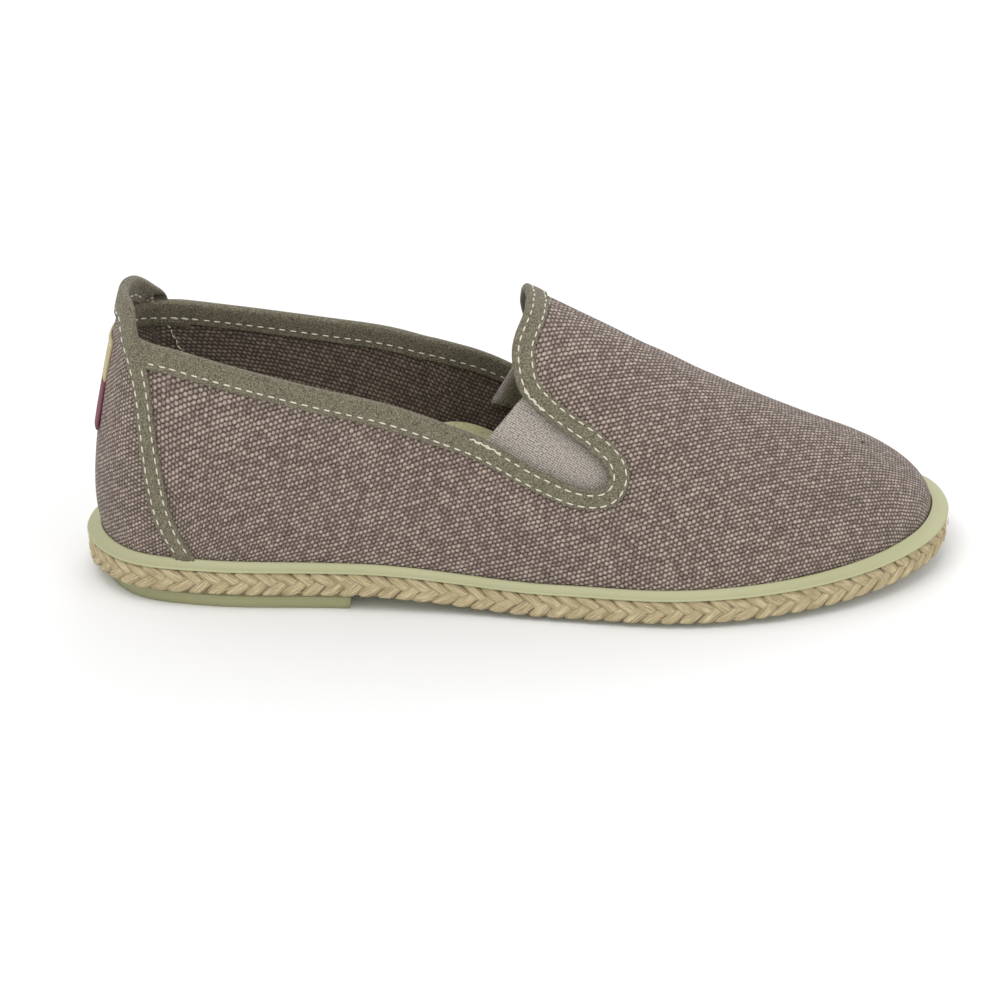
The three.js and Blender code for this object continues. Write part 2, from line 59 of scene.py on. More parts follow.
back = Vector(
    (
        math.sin(camera_turn) * math.cos(camera_height_angle),
        -math.cos(camera_turn) * math.cos(camera_height_angle),
        math.sin(camera_height_angle),
    )
)
right = Vector((math.cos(camera_turn), math.sin(camera_turn), 0.0))
camera_data = bpy.data.cameras.new("camera")
camera = bpy.data.objects.new("camera", camera_data)
bpy.context.scene.collection.objects.link(camera)
camera_data.sensor_fit = "HORIZONTAL"
camera_data.sensor_width = sensor_width
focal_pixels = pixels_per_mm * 1000 * camera_distance
camera_data.lens = sensor_width * focal_pixels / frame_pixels
camera_data.shift_x = (frame_pixels / 2 - aim_pixel[0]) / frame_pixels
camera_data.shift_y = (aim_pixel[1] - frame_pixels / 2) / frame_pixels
camera_data.clip_end = 20
turn = Matrix((right, back.cross(right), back)).transposed().to_4x4()
camera.matrix_world = Matrix.Translation(aim + back * camera_distance) @ turn
bpy.context.scene.camera = camera


def plain_material(name, colour, roughness):
    """A material with a Principled shader of one colour, and its node tree."""
    made = bpy.data.materials.new(name)
    made.use_nodes = True
    shader = made.node_tree.nodes["Principled BSDF"]
    shader.inputs["Base Color"].default_value = (*colour, 1)
    shader.inputs["Roughness"].default_value = roughness
    return made


floor_mesh = bpy.data.meshes.new("floor")
floor_mesh.from_pydata([(-4, -4, 0), (4, -4, 0), (4, 4, 0), (-4, 4, 0)], [], [(0, 1, 2, 3)])
floor = bpy.data.objects.new("floor", floor_mesh)
bpy.context.scene.collection.objects.link(floor)
floor_mesh.materials.append(plain_material("floor_white", (0.9, 0.9, 0.9), 0.9))

world = bpy.data.worlds.new("studio")
bpy.context.scene.world = world
world.use_nodes = True
world.node_tree.nodes["Background"].inputs["Color"].default_value = (1.0, 1.0, 1.0, 1)
world.node_tree.nodes["Background"].inputs["Strength"].default_value = 0.85
bpy.context.scene.view_settings.view_transform = "Standard"


def soft_lamp(name, place, size, power):
    """A square area lamp that looks at the shoe."""
    data = bpy.data.lights.new(name, "AREA")
    data.size = size
    data.energy = power
    lamp = bpy.data.objects.new(name, data)
    bpy.context.scene.collection.objects.link(lamp)
    lamp.location = place
    lamp.rotation_euler = (Vector((0, 0, 0.04)) - Vector(place)).to_track_quat("-Z", "Y").to_euler()
    return lamp


soft_lamp("key_lamp", (-0.5, -0.7, 1.5), 1.0, 9.0)
soft_lamp("fill_lamp", (1.1, -1.0, 1.0), 1.2, 5.0)
soft_lamp("rim_lamp", (0.3, 1.3, 1.0), 1.0, 5.0)

# The rubber sole, moulded in one piece: a slab with a channel round its side for the braid, a thin
# flange over it that climbs to the canvas, a heel block and a low forefoot tread. Millimetres from
# the heel's back, as the sole is drawn, until they are put in the frame.
sole_length = 284.0
heel_width = 69.0
waist_width = 74.0
ball_width = 100.0
heel_lift = 5.5
fore_lift = 1.5
toe_spring = 4.0
band_height = 9.5
ledge_rise = 1.9
ledge_width = 3.5
slab_tuck = 1.0
base_inset = 4.4
base_taper = 0.6
flange_thickness = 0.8
channel_depth = 2.6
seat_step = 0.2
heel_block_length = 87.5
ball_start = 150.5
spring_start = 176.0
groove_height = 0.5

# One row a section, heel to toe: share of the length, width it is a share of, lateral and medial
# shares, then how far the canvas, the slab's foot and the tread stand in, as shares of their sizes.
sole_rows = np.array(
    [
        (0.0, heel_width, 0.0, 0.0, 1.51, 1.0, 1.27),
        (0.014, heel_width, 0.222, 0.232, 1.43, 0.9, 1.18),
        (0.056, heel_width, 0.41, 0.406, 1.29, 0.7, 0.91),
        (0.148, heel_width, 0.504, 0.493, 1.09, 0.4, 0.64),
        (0.282, waist_width, 0.496, 0.446, 0.97, 0.3, 0.64),
        (0.415, waist_width, 0.538, 0.466, 0.91, 0.3, 0.73),
        (0.546, ball_width, 0.454, 0.42, 0.94, 0.3, 0.91),
        (0.669, ball_width, 0.5, 0.495, 1.0, 0.4, 1.0),
        (0.775, ball_width, 0.47, 0.51, 1.11, 0.7, 1.14),
        (0.866, ball_width, 0.38, 0.48, 1.29, 1.1, 1.36),
        (0.937, ball_width, 0.246, 0.411, 1.49, 1.5, 1.64),
        (0.982, ball_width, 0.086, 0.314, 1.66, 1.8, 1.86),
        (1.0, ball_width, -0.116, 0.116, 1.71, 1.9, 1.95),
    ]
)
rows_in_walk = 2 * (len(sole_rows) - 1)
fine = 24  # stations to each row
stations = rows_in_walk * fine


def walk(values):
    """A column in the order of one walk round the shoe: heel, lateral side, toe, medial side."""
    return np.concatenate([values, values[1:-1][::-1]])


def column(values):
    """A column at every station, by a cubic with the neighbours' mean slope at each row."""
    v = walk(np.asarray(values, float))
    row, t = np.divmod(np.arange(stations), fine)
    t = t / fine
    a, b, c, d = (v[(row + k) % rows_in_walk] for k in (-1, 0, 1, 2))
    into, out = (c - a) / 2, (d - b) / 2
    return b + into * t + (3 * (c - b) - 2 * into - out) * t**2 + (2 * (b - c) + into + out) * t**3


def smooth_loop(points, closed=True, each=fine):
    """A centripetal spline through points: cubic pieces whose knots lie at root-of-distance steps."""
    p = np.asarray(points, float)
    n = len(p)
    pieces = n if closed else n - 1
    row, t = np.divmod(np.arange(pieces * each + (0 if closed else 1)), each)
    if closed:
        p0, p1, p2, p3 = (p[(row + k) % n] for k in (-1, 0, 1, 2))
    else:
        p = np.concatenate([[2 * p[0] - p[1]], p, [2 * p[-1] - p[-2]], [2 * p[-1] - p[-2]]])
        p0, p1, p2, p3 = (p[row + k] for k in (0, 1, 2, 3))
    t = (t / each)[:, None]
    gap = lambda a, b: np.maximum(((a - b) ** 2).sum(1) ** 0.25, 1e-4)[:, None]
    d0, d1, d2 = gap(p0, p1), gap(p1, p2), gap(p2, p3)
    t1 = ((p1 - p0) / d0 - (p2 - p0) / (d0 + d1) + (p2 - p1) / d1) * d1
    t2 = ((p2 - p1) / d1 - (p3 - p1) / (d1 + d2) + (p3 - p2) / d2) * d1
    return p1 + t1 * t + (-3 * p1 + 3 * p2 - 2 * t1 - t2) * t**2 + (2 * p1 - 2 * p2 + t1 + t2) * t**3


def outwards(loop):
    """Level directions that point out of a closed loop: its tangent turned a quarter."""
    tangent = np.roll(loop[:, :2], -1, 0) - np.roll(loop[:, :2], 1, 0)
    out = np.c_[tangent[:, 1], -tangent[:, 0]]
    return out / np.linalg.norm(out, axis=1)[:, None]


def smoothstep(x, a, b):
    """0 before a, 1 after b, and a cubic S between."""
    t = np.clip((x - a) / (b - a), 0, 1)
    return t * t * (3 - 2 * t)


def spring(x):
    """Rise of the toe: a parabola from the ball to the tip."""
    return toe_spring * np.clip((x - spring_start) / (sole_length - spring_start), 0, 1) ** 2


def bottom_edge(x):
    """Height of the slab's foot: the heel's lift, falling over the waist to the forefoot's."""
    return heel_lift + (fore_lift - heel_lift) * smoothstep(x, heel_block_length, ball_start) + spring(x)


lateral = np.c_[sole_rows[:, 0] * sole_length, -sole_rows[:, 2] * sole_rows[:, 1]]
medial = np.c_[sole_rows[:, 0] * sole_length, sole_rows[:, 3] * sole_rows[:, 1]]
outline = smooth_loop(np.concatenate([lateral, medial[1:-1][::-1]]))
outline_out = outwards(outline)
ledge = column(sole_rows[:, 4]) * ledge_width
tuck = column(sole_rows[:, 5]) * slab_tuck
base = column(sole_rows[:, 6]) * base_inset
low_corner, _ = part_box("outsole")
to_frame = np.array([low_corner.x * 1000, low_corner.y * 1000 - outline[:, 1].min(), 0.0])


def sole_ring(inset, height):
    """The outline drawn in by a distance along its level normals, at a height that depends on x."""
    p = outline - outline_out * np.reshape(inset, (-1, 1))
    return np.c_[p, height(p[:, 0])]


def grid_faces(rows, count, closed_round=True, closed_up=False):
    """Quads between neighbouring rows and columns of a grid, its last column joined to the first."""
    r = np.arange(rows if closed_up else rows - 1)[:, None]
    i = np.arange(count if closed_round else count - 1)[None, :]
    up, on = (r + 1) % rows, (i + 1) % count
    return np.stack([r * count + i, r * count + on, up * count + on, up * count + i], -1).reshape(-1, 4)


def end_cap(first, count, facing_up):
    """Quads that close a ring by rungs from its lateral to its medial side."""
    i = np.arange(count // 2)
    quads = np.stack([i, i + 1, count - i - 1, (count - i) % count], -1) + first
    return quads if facing_up else quads[:, ::-1]


def put_in(name, points, faces, material, slot, uv=None):
    """A mesh object from points in mm from the heel's back, faces, and UVs of the vertices in mm."""
    mesh = bpy.data.meshes.new(name)
    faces = faces.tolist() if isinstance(faces, np.ndarray) else faces
    mesh.from_pydata((points + to_frame) / 1000.0, [], faces)
    if uv is not None:
        corner = np.empty(len(mesh.loops), dtype=np.int32)
        mesh.loops.foreach_get("vertex_index", corner)
        layer = mesh.uv_layers.new(name="cloth")
        layer.data.foreach_set("uv", np.ascontiguousarray(uv[corner] / 1000.0, dtype=np.float32).ravel())
    mesh.validate()
    mesh.polygons.foreach_set("use_smooth", [True] * len(mesh.polygons))
    mesh.materials.append(material)
    piece = bpy.data.objects.new(name, mesh)
    bpy.context.scene.collection.objects.link(piece)
    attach(piece, "root")
    return piece


def thickened(piece, name, thickness, offset=-1):
    """A sheet given its thickness in mm, on its inner side unless the offset says otherwise."""
    layer = piece.modifiers.new(name, "SOLIDIFY")
    layer.thickness = thickness / 1000
    layer.offset = offset


def stacked(rings):
    """Points and faces of a closed solid: rings from the bottom to the top, capped at both ends."""
    count = len(rings[0])
    faces = [grid_faces(len(rings), count), end_cap(0, count, False)]
    faces.append(end_cap((len(rings) - 1) * count, count, True))
    return np.concatenate(rings), np.concatenate(faces)


def joined(parts):
    """Several sets of points and faces as one."""
    points, faces, start = [], [], 0
    for p, f in parts:
        points.append(p)
        faces.append(np.asarray(f) + start)
        start += len(p)
    return np.concatenate(points), np.concatenate(faces)


rim_edge = lambda x: bottom_edge(x) + band_height
seat_height = lambda x: rim_edge(x) + seat_step
canvas_line = lambda x: rim_edge(x) + ledge_rise
foot_loop = outline - outline_out * ledge[:, None]
foot_out = outwards(foot_loop)


def foot_ring(distance, height):
    """The canvas's foot on the sole moved outwards by a distance, at a height that depends on x."""
    p = foot_loop + foot_out * distance
    return np.c_[p, height(p[:, 0])]


flange_radius = 0.7


def flange_ring(angle):
    """The flange's round edge at an angle: level with its top edge at a quarter turn."""
    fall = flange_radius * (1 - math.sin(angle))
    return sole_ring(flange_radius * (1 - math.cos(angle)), lambda x: rim_edge(x) - fall)


slab = stacked(
    [
        sole_ring(channel_depth + tuck + 1.0, bottom_edge),
        sole_ring(channel_depth + tuck, lambda x: bottom_edge(x) + 0.1),
        sole_ring(channel_depth, lambda x: rim_edge(x) - flange_thickness - 0.3),
        sole_ring(channel_depth - 0.3, lambda x: rim_edge(x) - flange_thickness),
        sole_ring(0.25, lambda x: rim_edge(x) - flange_thickness - 0.05),
        *[flange_ring(angle) for angle in np.linspace(0, math.pi / 2, 6)],
        foot_ring(1.6, lambda x: canvas_line(x) - 0.75),
        foot_ring(1.1, lambda x: canvas_line(x) - 0.2),
        foot_ring(0.6, canvas_line),
        foot_ring(0.45, lambda x: canvas_line(x) - 0.2),
        foot_ring(0.4, seat_height),
    ]
)

groove = channel_depth + tuck + 1.0
block_corner = 1.0
block_half_width = 36.0
corner_power = 12
neck_inset = 0.8
fold_root = 0.35


def folded_end(p, cut, tip):
    """Sideways places of a ring cut off across the foot: the points from the cut to the outline's tip
    run back along the cut, from its two corners to the middle, by a root of their share."""
    half = stations // 2
    corners = [np.interp(cut, side[:, 0], side[:, 1]) for side in (p[:half], p[half:][::-1])]
    past = np.clip((p[:, 0] - cut) / (tip - cut), 0, 1)
    return np.where(past > 0, np.where(p[:, 1] < 0, *corners) * (1 - past**fold_root), p[:, 1])


def heel_ring(inset, height, top=False):
    """A ring of the heel block: the outline drawn in, and cut off square with a rounded front end."""
    p = outline - outline_out * np.reshape(inset, (-1, 1))
    end = heel_block_length - (neck_inset if top else np.mean(inset - base))
    y = folded_end(p, end, sole_length)
    bulge = np.where(p[:, 0] > end, -block_corner * (np.abs(y) / block_half_width) ** corner_power, 0)
    x = np.minimum(p[:, 0], end)
    return np.c_[x + bulge, y, height(x)]


heel_block = stacked(
    [
        heel_ring(base + base_taper + 0.5, spring),
        heel_ring(base + base_taper, lambda x: spring(x) + 0.35),
        heel_ring(base, lambda x: bottom_edge(x) - groove_height - 0.9),
        heel_ring(base + 0.12, lambda x: bottom_edge(x) - groove_height - 0.6),
        heel_ring(base + 0.5, lambda x: bottom_edge(x) - groove_height - 0.35),
        heel_ring(groove, lambda x: bottom_edge(x) - groove_height, True),
        heel_ring(groove, lambda x: bottom_edge(x) + 0.4, True),
    ]
)


def tread_ring(inset, height):
    """A ring of the forefoot's tread: the outline drawn in, cut off across the foot behind the ball."""
    p = outline - outline_out * np.reshape(inset, (-1, 1))
    start = ball_start + np.mean(inset - base)
    x = np.maximum(p[:, 0], start)
    return np.c_[x, folded_end(p, start, 0.0), height(x)]


tread = stacked(
    [
        tread_ring(base + base_taper + 0.4, spring),
        tread_ring(base + base_taper, lambda x: spring(x) + 0.3),
        tread_ring(base, lambda x: bottom_edge(x) + 0.4),
    ]
)


def node_of(tree, kind, links=None, **settings):
    """A shader node with its settings, and its inputs set from values or linked from sockets."""
    made = tree.nodes.new(kind)
    for key, value in settings.items():
        setattr(made, key, value)
    for key, value in (links or {}).items():
        if isinstance(value, bpy.types.NodeSocket):
            tree.links.new(value, made.inputs[key])
        else:
            made.inputs[key].default_value = value
    return made


def maths(tree, operation, a, b=0.0, c=0.0):
    """One arithmetic step on values or sockets."""
    return node_of(tree, "ShaderNodeMath", {0: a, 1: b, 2: c}, operation=operation).outputs[0]


def blend_of(tree, share, a, b, blend_type="MIX"):
    """Two colours mixed by a share."""
    made = node_of(tree, "ShaderNodeMix", {0: share, 6: a, 7: b}, data_type="RGBA", blend_type=blend_type)
    return made.outputs[2]


def noise(tree, where, scale, detail=2.0, roughness=0.5):
    """A soft random value about 0.5 over the surface."""
    links = {"Vector": where, "Scale": scale, "Detail": detail, "Roughness": roughness}
    return node_of(tree, "ShaderNodeTexNoise", links).outputs["Fac"]


def place_in(tree):
    """The place on the object, in metres."""
    return node_of(tree, "ShaderNodeTexCoord").outputs["Object"]


def threads_in(tree):
    """The cloth's UVs: metres along and across its threads."""
    return node_of(tree, "ShaderNodeUVMap", uv_map="cloth").outputs[0]


def dress(tree, tint, relief, strength, depth):
    """The shader with its colour, and its normal from a relief in shares of a depth in metres."""
    shader = tree.nodes["Principled BSDF"]
    links = {"Height": relief, "Strength": strength, "Distance": depth}
    tree.links.new(tint, shader.inputs["Base Color"])
    tree.links.new(node_of(tree, "ShaderNodeBump", links).outputs["Normal"], shader.inputs["Normal"])
    return shader


rubber = plain_material("sole_rubber", (0.5, 0.5, 0.36), 0.55)
tree = rubber.node_tree
place = place_in(tree)
cloud = noise(tree, place, 22.0, 3.0)
speck = noise(tree, place, 900.0, 2.0)
tint = blend_of(tree, cloud, (0.375, 0.38, 0.21, 1), (0.45, 0.445, 0.27, 1))
# The rubber darkens from 6.2 mm down to 3.5 mm over the ground: painted shade under the braid's overhang.
foot_height = node_of(tree, "ShaderNodeSeparateXYZ", {0: place}).outputs[2]
low_shade_share = node_of(tree, "ShaderNodeMapRange", {0: foot_height, 1: 0.0062, 2: 0.0035}).outputs[0]
low_shade_share = maths(tree, "MULTIPLY", low_shade_share, 0.55)
tint = blend_of(tree, low_shade_share, tint, (0.27, 0.265, 0.125, 1))
shader = dress(tree, tint, speck, 0.12, 0.0003)
shader.inputs["Subsurface Weight"].default_value = 0.05
shader.inputs["Subsurface Radius"].default_value = (0.003, 0.003, 0.002)

outsole = put_in("outsole_rubber", *joined([slab, heel_block, tread]), rubber, "sole_rubber")
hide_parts("outsole")

# The jute braid in the sole's channel: two rows of flat strands that lean towards the toe and dip
# under each other at mid-height. It is glued in. Each strand is a bundle of fibres, 11 mm long.
braid_pitch = 6.1
strand_length = 11.0
strand_width = 6.4
strand_thickness = 1.7
strand_lean = math.radians(37)
stray_fibres = 260
stray_rings = 5
stray_sides = 3
stray_radius = 0.07


def run_of(path):
    """Lengths along a path of places, from its start."""
    return np.concatenate([[0], np.cumsum(np.linalg.norm(np.diff(path, axis=0), axis=1))])


def rows_at(s, run, field):
    """Every column of a field at lengths s of a run."""
    return np.stack([np.interp(s, run, field[:, k]) for k in range(field.shape[1])], -1)


lengths = run_of(np.concatenate([outline, outline[:1]]))
round_length = lengths[-1]
strands = int(round(round_length / braid_pitch))


def on_outline(along):
    """Point and outward direction at lengths along the sole's edge."""
    s = np.mod(along, round_length)
    p, n = (rows_at(s, lengths, np.concatenate([field, field[:1]])) for field in (outline, outline_out))
    return p, n / np.linalg.norm(n, axis=-1, keepdims=True)


def braid_points():
    """Strands as bent ellipsoids: length and girth angles give a place along, up and out of the sole's
    side. The ends dip under the neighbours, and each strand differs a little in size."""
    dice = np.random.default_rng(7)
    ends = np.linspace(0, math.pi, 9)
    girth = np.linspace(0, 2 * math.pi, 8, endpoint=False)
    along_strand = -np.cos(ends)[:, None] * np.ones_like(girth)
    thick = np.sin(ends)[:, None] ** 0.45
    wide = thick * np.cos(girth)[None, :]
    proud = thick * np.sin(girth)[None, :]
    number = np.arange(2 * strands)
    upper = (number % 2 == 0).astype(float)[:, None, None]
    start = (number // 2)[:, None, None] * round_length / strands + (1 - upper) * braid_pitch / 2
    size = dice.uniform(0.86, 1.12, (3, len(number), 1, 1))
    lean = strand_lean * dice.uniform(0.8, 1.2, (len(number), 1, 1))
    length = strand_length / 2 * size[0] * along_strand[None]
    width = strand_width / 2 * size[1] * wide[None] * 0.72
    fall = np.where(upper > 0, -1.0, 1.0)
    walk_sign = np.where(start < round_length / 2, 1.0, -1.0)
    along = start + walk_sign * (length * np.cos(lean) + width * np.sin(lean) * -1)
    up = 0.5 + fall * ((length * np.sin(lean) + width * np.cos(lean)) / (band_height - 1.4) - 0.19)
    dip = 0.9 * (along_strand[None] * 0.5 + 0.5) ** 2 + 0.25 * (1 - (along_strand[None] * 0.5 + 0.5)) ** 3
    out = strand_thickness / 2 * size[2] * proud[None] - dip - 0.95
    p, n = on_outline(along)
    x = p[..., 0] + n[..., 0] * out
    y = p[..., 1] + n[..., 1] * out
    low = bottom_edge(x) + 0.35
    high = rim_edge(x) - flange_thickness + 0.1
    z = low + (high - low) * np.clip(up, 0.02, 0.98)
    uv = np.stack([length + number[:, None, None] * 3.7, width + 0 * length], -1)
    return np.stack([x, y, z], -1), uv, len(ends), len(girth)


def many_tubes(points, rows, count):
    """Faces of many closed-ended tubes: quads round each, and its first and last ring's points meet."""
    one = grid_faces(rows, count)
    start = np.arange(len(points))[:, None, None] * rows * count
    return (one[None] + start).reshape(-1, 4)


braid, braid_uv, strand_rows, strand_count = braid_points()
braid_faces = many_tubes(braid, strand_rows, strand_count)
braid_sides = np.where(np.arange(2 * strands) // 2 * round_length / strands < round_length / 2, 1, -1)
upper_row = np.where(np.arange(2 * strands) % 2 == 0, 1, -1)
turned = np.repeat(braid_sides * upper_row > 0, (strand_rows - 1) * strand_count)
braid_faces[turned] = braid_faces[turned][:, ::-1]
core_height = lambda share: lambda x: bottom_edge(x) + 0.5 + share * (band_height - flange_thickness - 0.7)
core_sizes = ((channel_depth - 0.2, 0.0), (1.75, 0.0), (1.15, 0.25), (1.0, 0.5), (1.15, 0.75), (1.75, 1.0))
core = np.stack([sole_ring(inset, core_height(share)) for inset, share in core_sizes])
core = np.concatenate([core, [sole_ring(channel_depth - 0.2, core_height(1.0))]])
core_faces = grid_faces(len(core), stations, closed_up=True)
core_uv = np.stack([lengths[:-1][None] + 0 * core[..., 2], 2.0 + 0 * core[..., 2]], -1)


def stray_points():
    """Loose fibres: thin bent tubes that leave the braid at random places and lean along it."""
    dice = np.random.default_rng(23)
    start = dice.uniform(0, round_length, (stray_fibres, 1))
    share = np.linspace(0, 1, stray_rings)[None, :]
    long = dice.uniform(2.5, 7.0, (stray_fibres, 1)) * np.sign(dice.uniform(-1, 1, (stray_fibres, 1)))
    rise = dice.uniform(-1.6, 1.6, (stray_fibres, 1))
    bow = dice.uniform(0.2, 1.1, (stray_fibres, 1))
    p, n = on_outline(start + long * share)
    out = -0.35 + bow * share * (1.6 - share)
    at = dice.uniform(0.05, 0.97, (stray_fibres, 1))
    z = bottom_edge(p[..., 0]) + 0.8 + at * (band_height - 1.8) + rise * share
    middle = np.stack([p[..., 0] + n[..., 0] * out, p[..., 1] + n[..., 1] * out, z], -1)
    girth = np.linspace(0, 2 * math.pi, stray_sides, endpoint=False)
    thin = (stray_radius * (1.05 - share**4))[..., None]
    ring = np.stack([n[..., 0, None] * np.cos(girth), n[..., 1, None] * np.cos(girth)], -1) * thin[..., None]
    lift = np.sin(girth) * thin
    tube = np.concatenate([middle[:, :, None, :2] + ring, (middle[:, :, None, 2] + lift)[..., None]], -1)
    return tube, np.stack([start + long * share] * stray_sides, -1)[..., None] * (1.0, 0.0)


strays, stray_uv = stray_points()
stray_faces = many_tubes(strays, stray_rings, stray_sides)

jute = plain_material("jute_fibre", (0.6, 0.47, 0.28), 0.9)
tree = jute.node_tree
fibre_uv, place = threads_in(tree), place_in(tree)
fibre_scale = (150.0, 2300.0, 1.0)
stretched = node_of(tree, "ShaderNodeMapping", {"Vector": fibre_uv, "Scale": fibre_scale}).outputs[0]
fibres = noise(tree, stretched, 1.0, 3.0, 0.65)
fibre_share = node_of(tree, "ShaderNodeMapRange", {0: fibres, 1: 0.34, 2: 0.64}).outputs[0]
patches = noise(tree, place, 160.0, 2.0)
across_strand = node_of(tree, "ShaderNodeSeparateXYZ", {0: fibre_uv}).outputs[1]
edge_share = maths(tree, "MULTIPLY", maths(tree, "ABSOLUTE", across_strand), 440.0)
edge_share = maths(tree, "POWER", edge_share, 3.0)
edge_share = maths(tree, "MINIMUM", maths(tree, "MULTIPLY", edge_share, 0.8), 0.85)
body_tint = blend_of(tree, fibre_share, (0.33, 0.25, 0.125, 1), (0.86, 0.735, 0.47, 1))
tint = blend_of(tree, maths(tree, "MULTIPLY", patches, 0.5), body_tint, (0.56, 0.46, 0.27, 1))
tint = blend_of(tree, edge_share, tint, (0.13, 0.09, 0.045, 1))
shader = dress(tree, tint, fibres, 1.0, 0.0011)
shader.inputs["Specular IOR Level"].default_value = 0.25

braid_parts = [
    (braid.reshape(-1, 3), braid_faces),
    (core.reshape(-1, 3), core_faces),
    (strays.reshape(-1, 3), stray_faces),
]
braid_uvs = [braid_uv.reshape(-1, 2), core_uv.reshape(-1, 2), stray_uv.reshape(-1, 2)]
jute_braid = put_in("jute_strands", *joined(braid_parts), jute, "jute", uv=np.concatenate(braid_uvs))
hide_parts("jute_braid")

# The insole: a thin foam sock covered with khaki cotton, glued on the sole's seat, with an arch rest
# that turns up the medial wall.
insole_edge = 2.5
insole_thickness = 4.0
arch_lift = 20.0
arch_x = 121.0
arch_reach = 28.0
arch_depth = 9.0
arch_outward = 1.1


def insole_ring(extra, height):
    """The canvas's foot drawn in by the insole's edge and an extra, at a height above the seat. On the
    medial side the foam turns up the wall into an arch rest, which fades along and inwards."""
    ring = foot_ring(-(insole_edge + extra), lambda x: seat_height(x) + height)
    rest = np.exp(-(((ring[:, 0] - arch_x) / arch_reach) ** 2)) * smoothstep(ring[:, 1], 8, 22)
    rest = rest * np.exp(-((extra / arch_depth) ** 2))
    ring[:, 1] += arch_outward * rest
    ring[:, 2] += arch_lift * rest
    return ring


insole_solid = stacked(
    [
        insole_ring(0.0, 0.35),
        insole_ring(0.0, insole_thickness - 1.0),
        insole_ring(0.3, insole_thickness - 0.4),
        *[insole_ring(extra, insole_thickness) for extra in (0.9, 2.5, 5.0, 8.0, 11.0, 14.0, 18.0)],
    ]
)
sock = plain_material("insole_cotton", (0.36, 0.34, 0.16), 0.9)
tree = sock.node_tree
threads = node_of(tree, "ShaderNodeTexVoronoi", {"Vector": place_in(tree), "Scale": 1300.0})
threads = threads.outputs["Distance"]
tint = blend_of(tree, threads, (0.74, 0.74, 0.43, 1), (0.50, 0.49, 0.27, 1))
dress(tree, tint, threads, 0.4, 0.0004)
insole = put_in("insole_sock", *insole_solid, sock, "insole_fabric")
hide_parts("insole")

# The canvas upper: coarse two-tone cloth, 1.3 mm thick, lasted and glued to the sole's lip, its vamp
# and quarters one piece, its heel panel another. Each section of the last is a cubic curve from the
# canvas's foot on the sole to the shaft's mouth or the vamp's ridge.
instep_rise = 81.0
wall_lean = 2.6
foot_gap = 0.42
canvas_thickness = 1.3
collar_cant = 0.086
throat_cant = 0.017
open_row = 6
# Share of the length, side and half width (shares of the ball width) and height (share of the rise)
# of the crown, then the wall's lean, its height share, and the crown handle's reach and drop.
last_rows = np.array(
    [
        (0.067, 0.0, 0.0, 1.22, 2.42, 0.22, 0.087, 0.337),
        (0.07, 0.0, 0.07, 1.22, 2.27, 0.22, 0.087, 0.337),
        (0.089, 0.0, 0.145, 1.22, 2.04, 0.22, 0.087, 0.337),
        (0.17, -0.005, 0.205, 1.22, 1.0, 0.32, 0.06, 0.36),
        (0.28, -0.008, 0.23, 1.22, 0.77, 0.34, 0.08, 0.34),
        (0.4, -0.004, 0.19, 1.22, 1.0, 0.36, 0.14, 0.26),
        (0.482, 0.002, 0.0, 1.044, 1.0, 0.44, 0.245, 0.0),
        (0.628, 0.008, 0.0, 0.774, 0.92, 0.44, 0.215, 0.0),
        (0.735, 0.022, 0.0, 0.572, 0.85, 0.46, 0.185, 0.0),
        (0.82, 0.045, 0.0, 0.422, 0.65, 0.48, 0.155, 0.0),
        (0.861, 0.066, 0.0, 0.349, 0.42, 0.45, 0.175, 0.0),
        (0.884, 0.078, 0.0, 0.305, 0.35, 0.41, 0.17, 0.0),
        (0.895, 0.082, 0.0, 0.281, 0.33, 0.4, 0.16, 0.0),
    ]
)
toe_station = stations // 2
seat_at_heel = heel_lift + band_height + seat_step
rise_to = lambda share: seat_at_heel + share * instep_rise


def last_handles():
    """The four control points of the section at every station: foot, wall, shoulder and crown."""
    crown_x, crown_side, crown_half, crown_rise, lean, wall_share, reach, drop = map(column, last_rows.T)
    number = np.arange(stations)
    side = np.sign(number % toe_station) * np.where(number < toe_station, -1, 1)
    foot = np.c_[foot_loop, seat_height(foot_loop[:, 0]) + foot_gap]
    half = np.maximum(0, crown_half) * ball_width
    crown = np.c_[crown_x * sole_length, crown_side * ball_width + side * half, rise_to(crown_rise)]
    height = crown[:, 2] - foot[:, 2]
    wall = foot + np.c_[foot_out * (lean * wall_lean)[:, None], wall_share * height]
    reach = reach * ball_width
    ridge = np.tile((1.0, 0.0), (stations, 1))
    k = np.arange(open_row * fine, toe_station + 1)
    ahead, behind = np.minimum(k + 1, toe_station), np.maximum(k - 1, open_row * fine)
    slope = crown[ahead][:, [0, 2]] - crown[behind][:, [0, 2]]
    slope /= np.linalg.norm(slope, axis=1)[:, None]
    ridge[k] = slope
    ridge[(stations - k) % stations] = slope
    shoulder = crown + np.c_[
        reach * foot_out[:, 0] * ridge[:, 0],
        reach * foot_out[:, 1],
        reach * foot_out[:, 0] * ridge[:, 1] - drop * height,
    ]
    return np.stack([foot, wall, shoulder, crown])


handles = last_handles()


def on_last(u, v):
    """The last's surface at station u and share v of the section. Past the crown it runs down the
    other side: the four control points, between two stations, under cubic weights."""
    u, v = np.broadcast_arrays(np.asarray(u, float), np.asarray(v, float))
    u = np.where(v > 1, stations - u, u) % stations
    v = np.where(v > 1, 2 - v, v)[..., None]
    low = np.floor(u).astype(int) % stations
    share = (u - np.floor(u))[..., None]
    a, b, c, d = (h[low] * (1 - share) + h[(low + 1) % stations] * share for h in handles)
    w = 1 - v
    return a * w**3 + 3 * b * v * w**2 + 3 * c * v**2 * w + d * v**3


def slopes(u, v):
    """How the surface moves with station and share, by central differences."""
    du, dv = 1.0, 0.01
    along = (on_last(u + du, v) - on_last(u - du, v)) / (2 * du)
    above = (on_last(u, v + dv) - on_last(u, v - dv)) / (2 * dv)
    return along, above


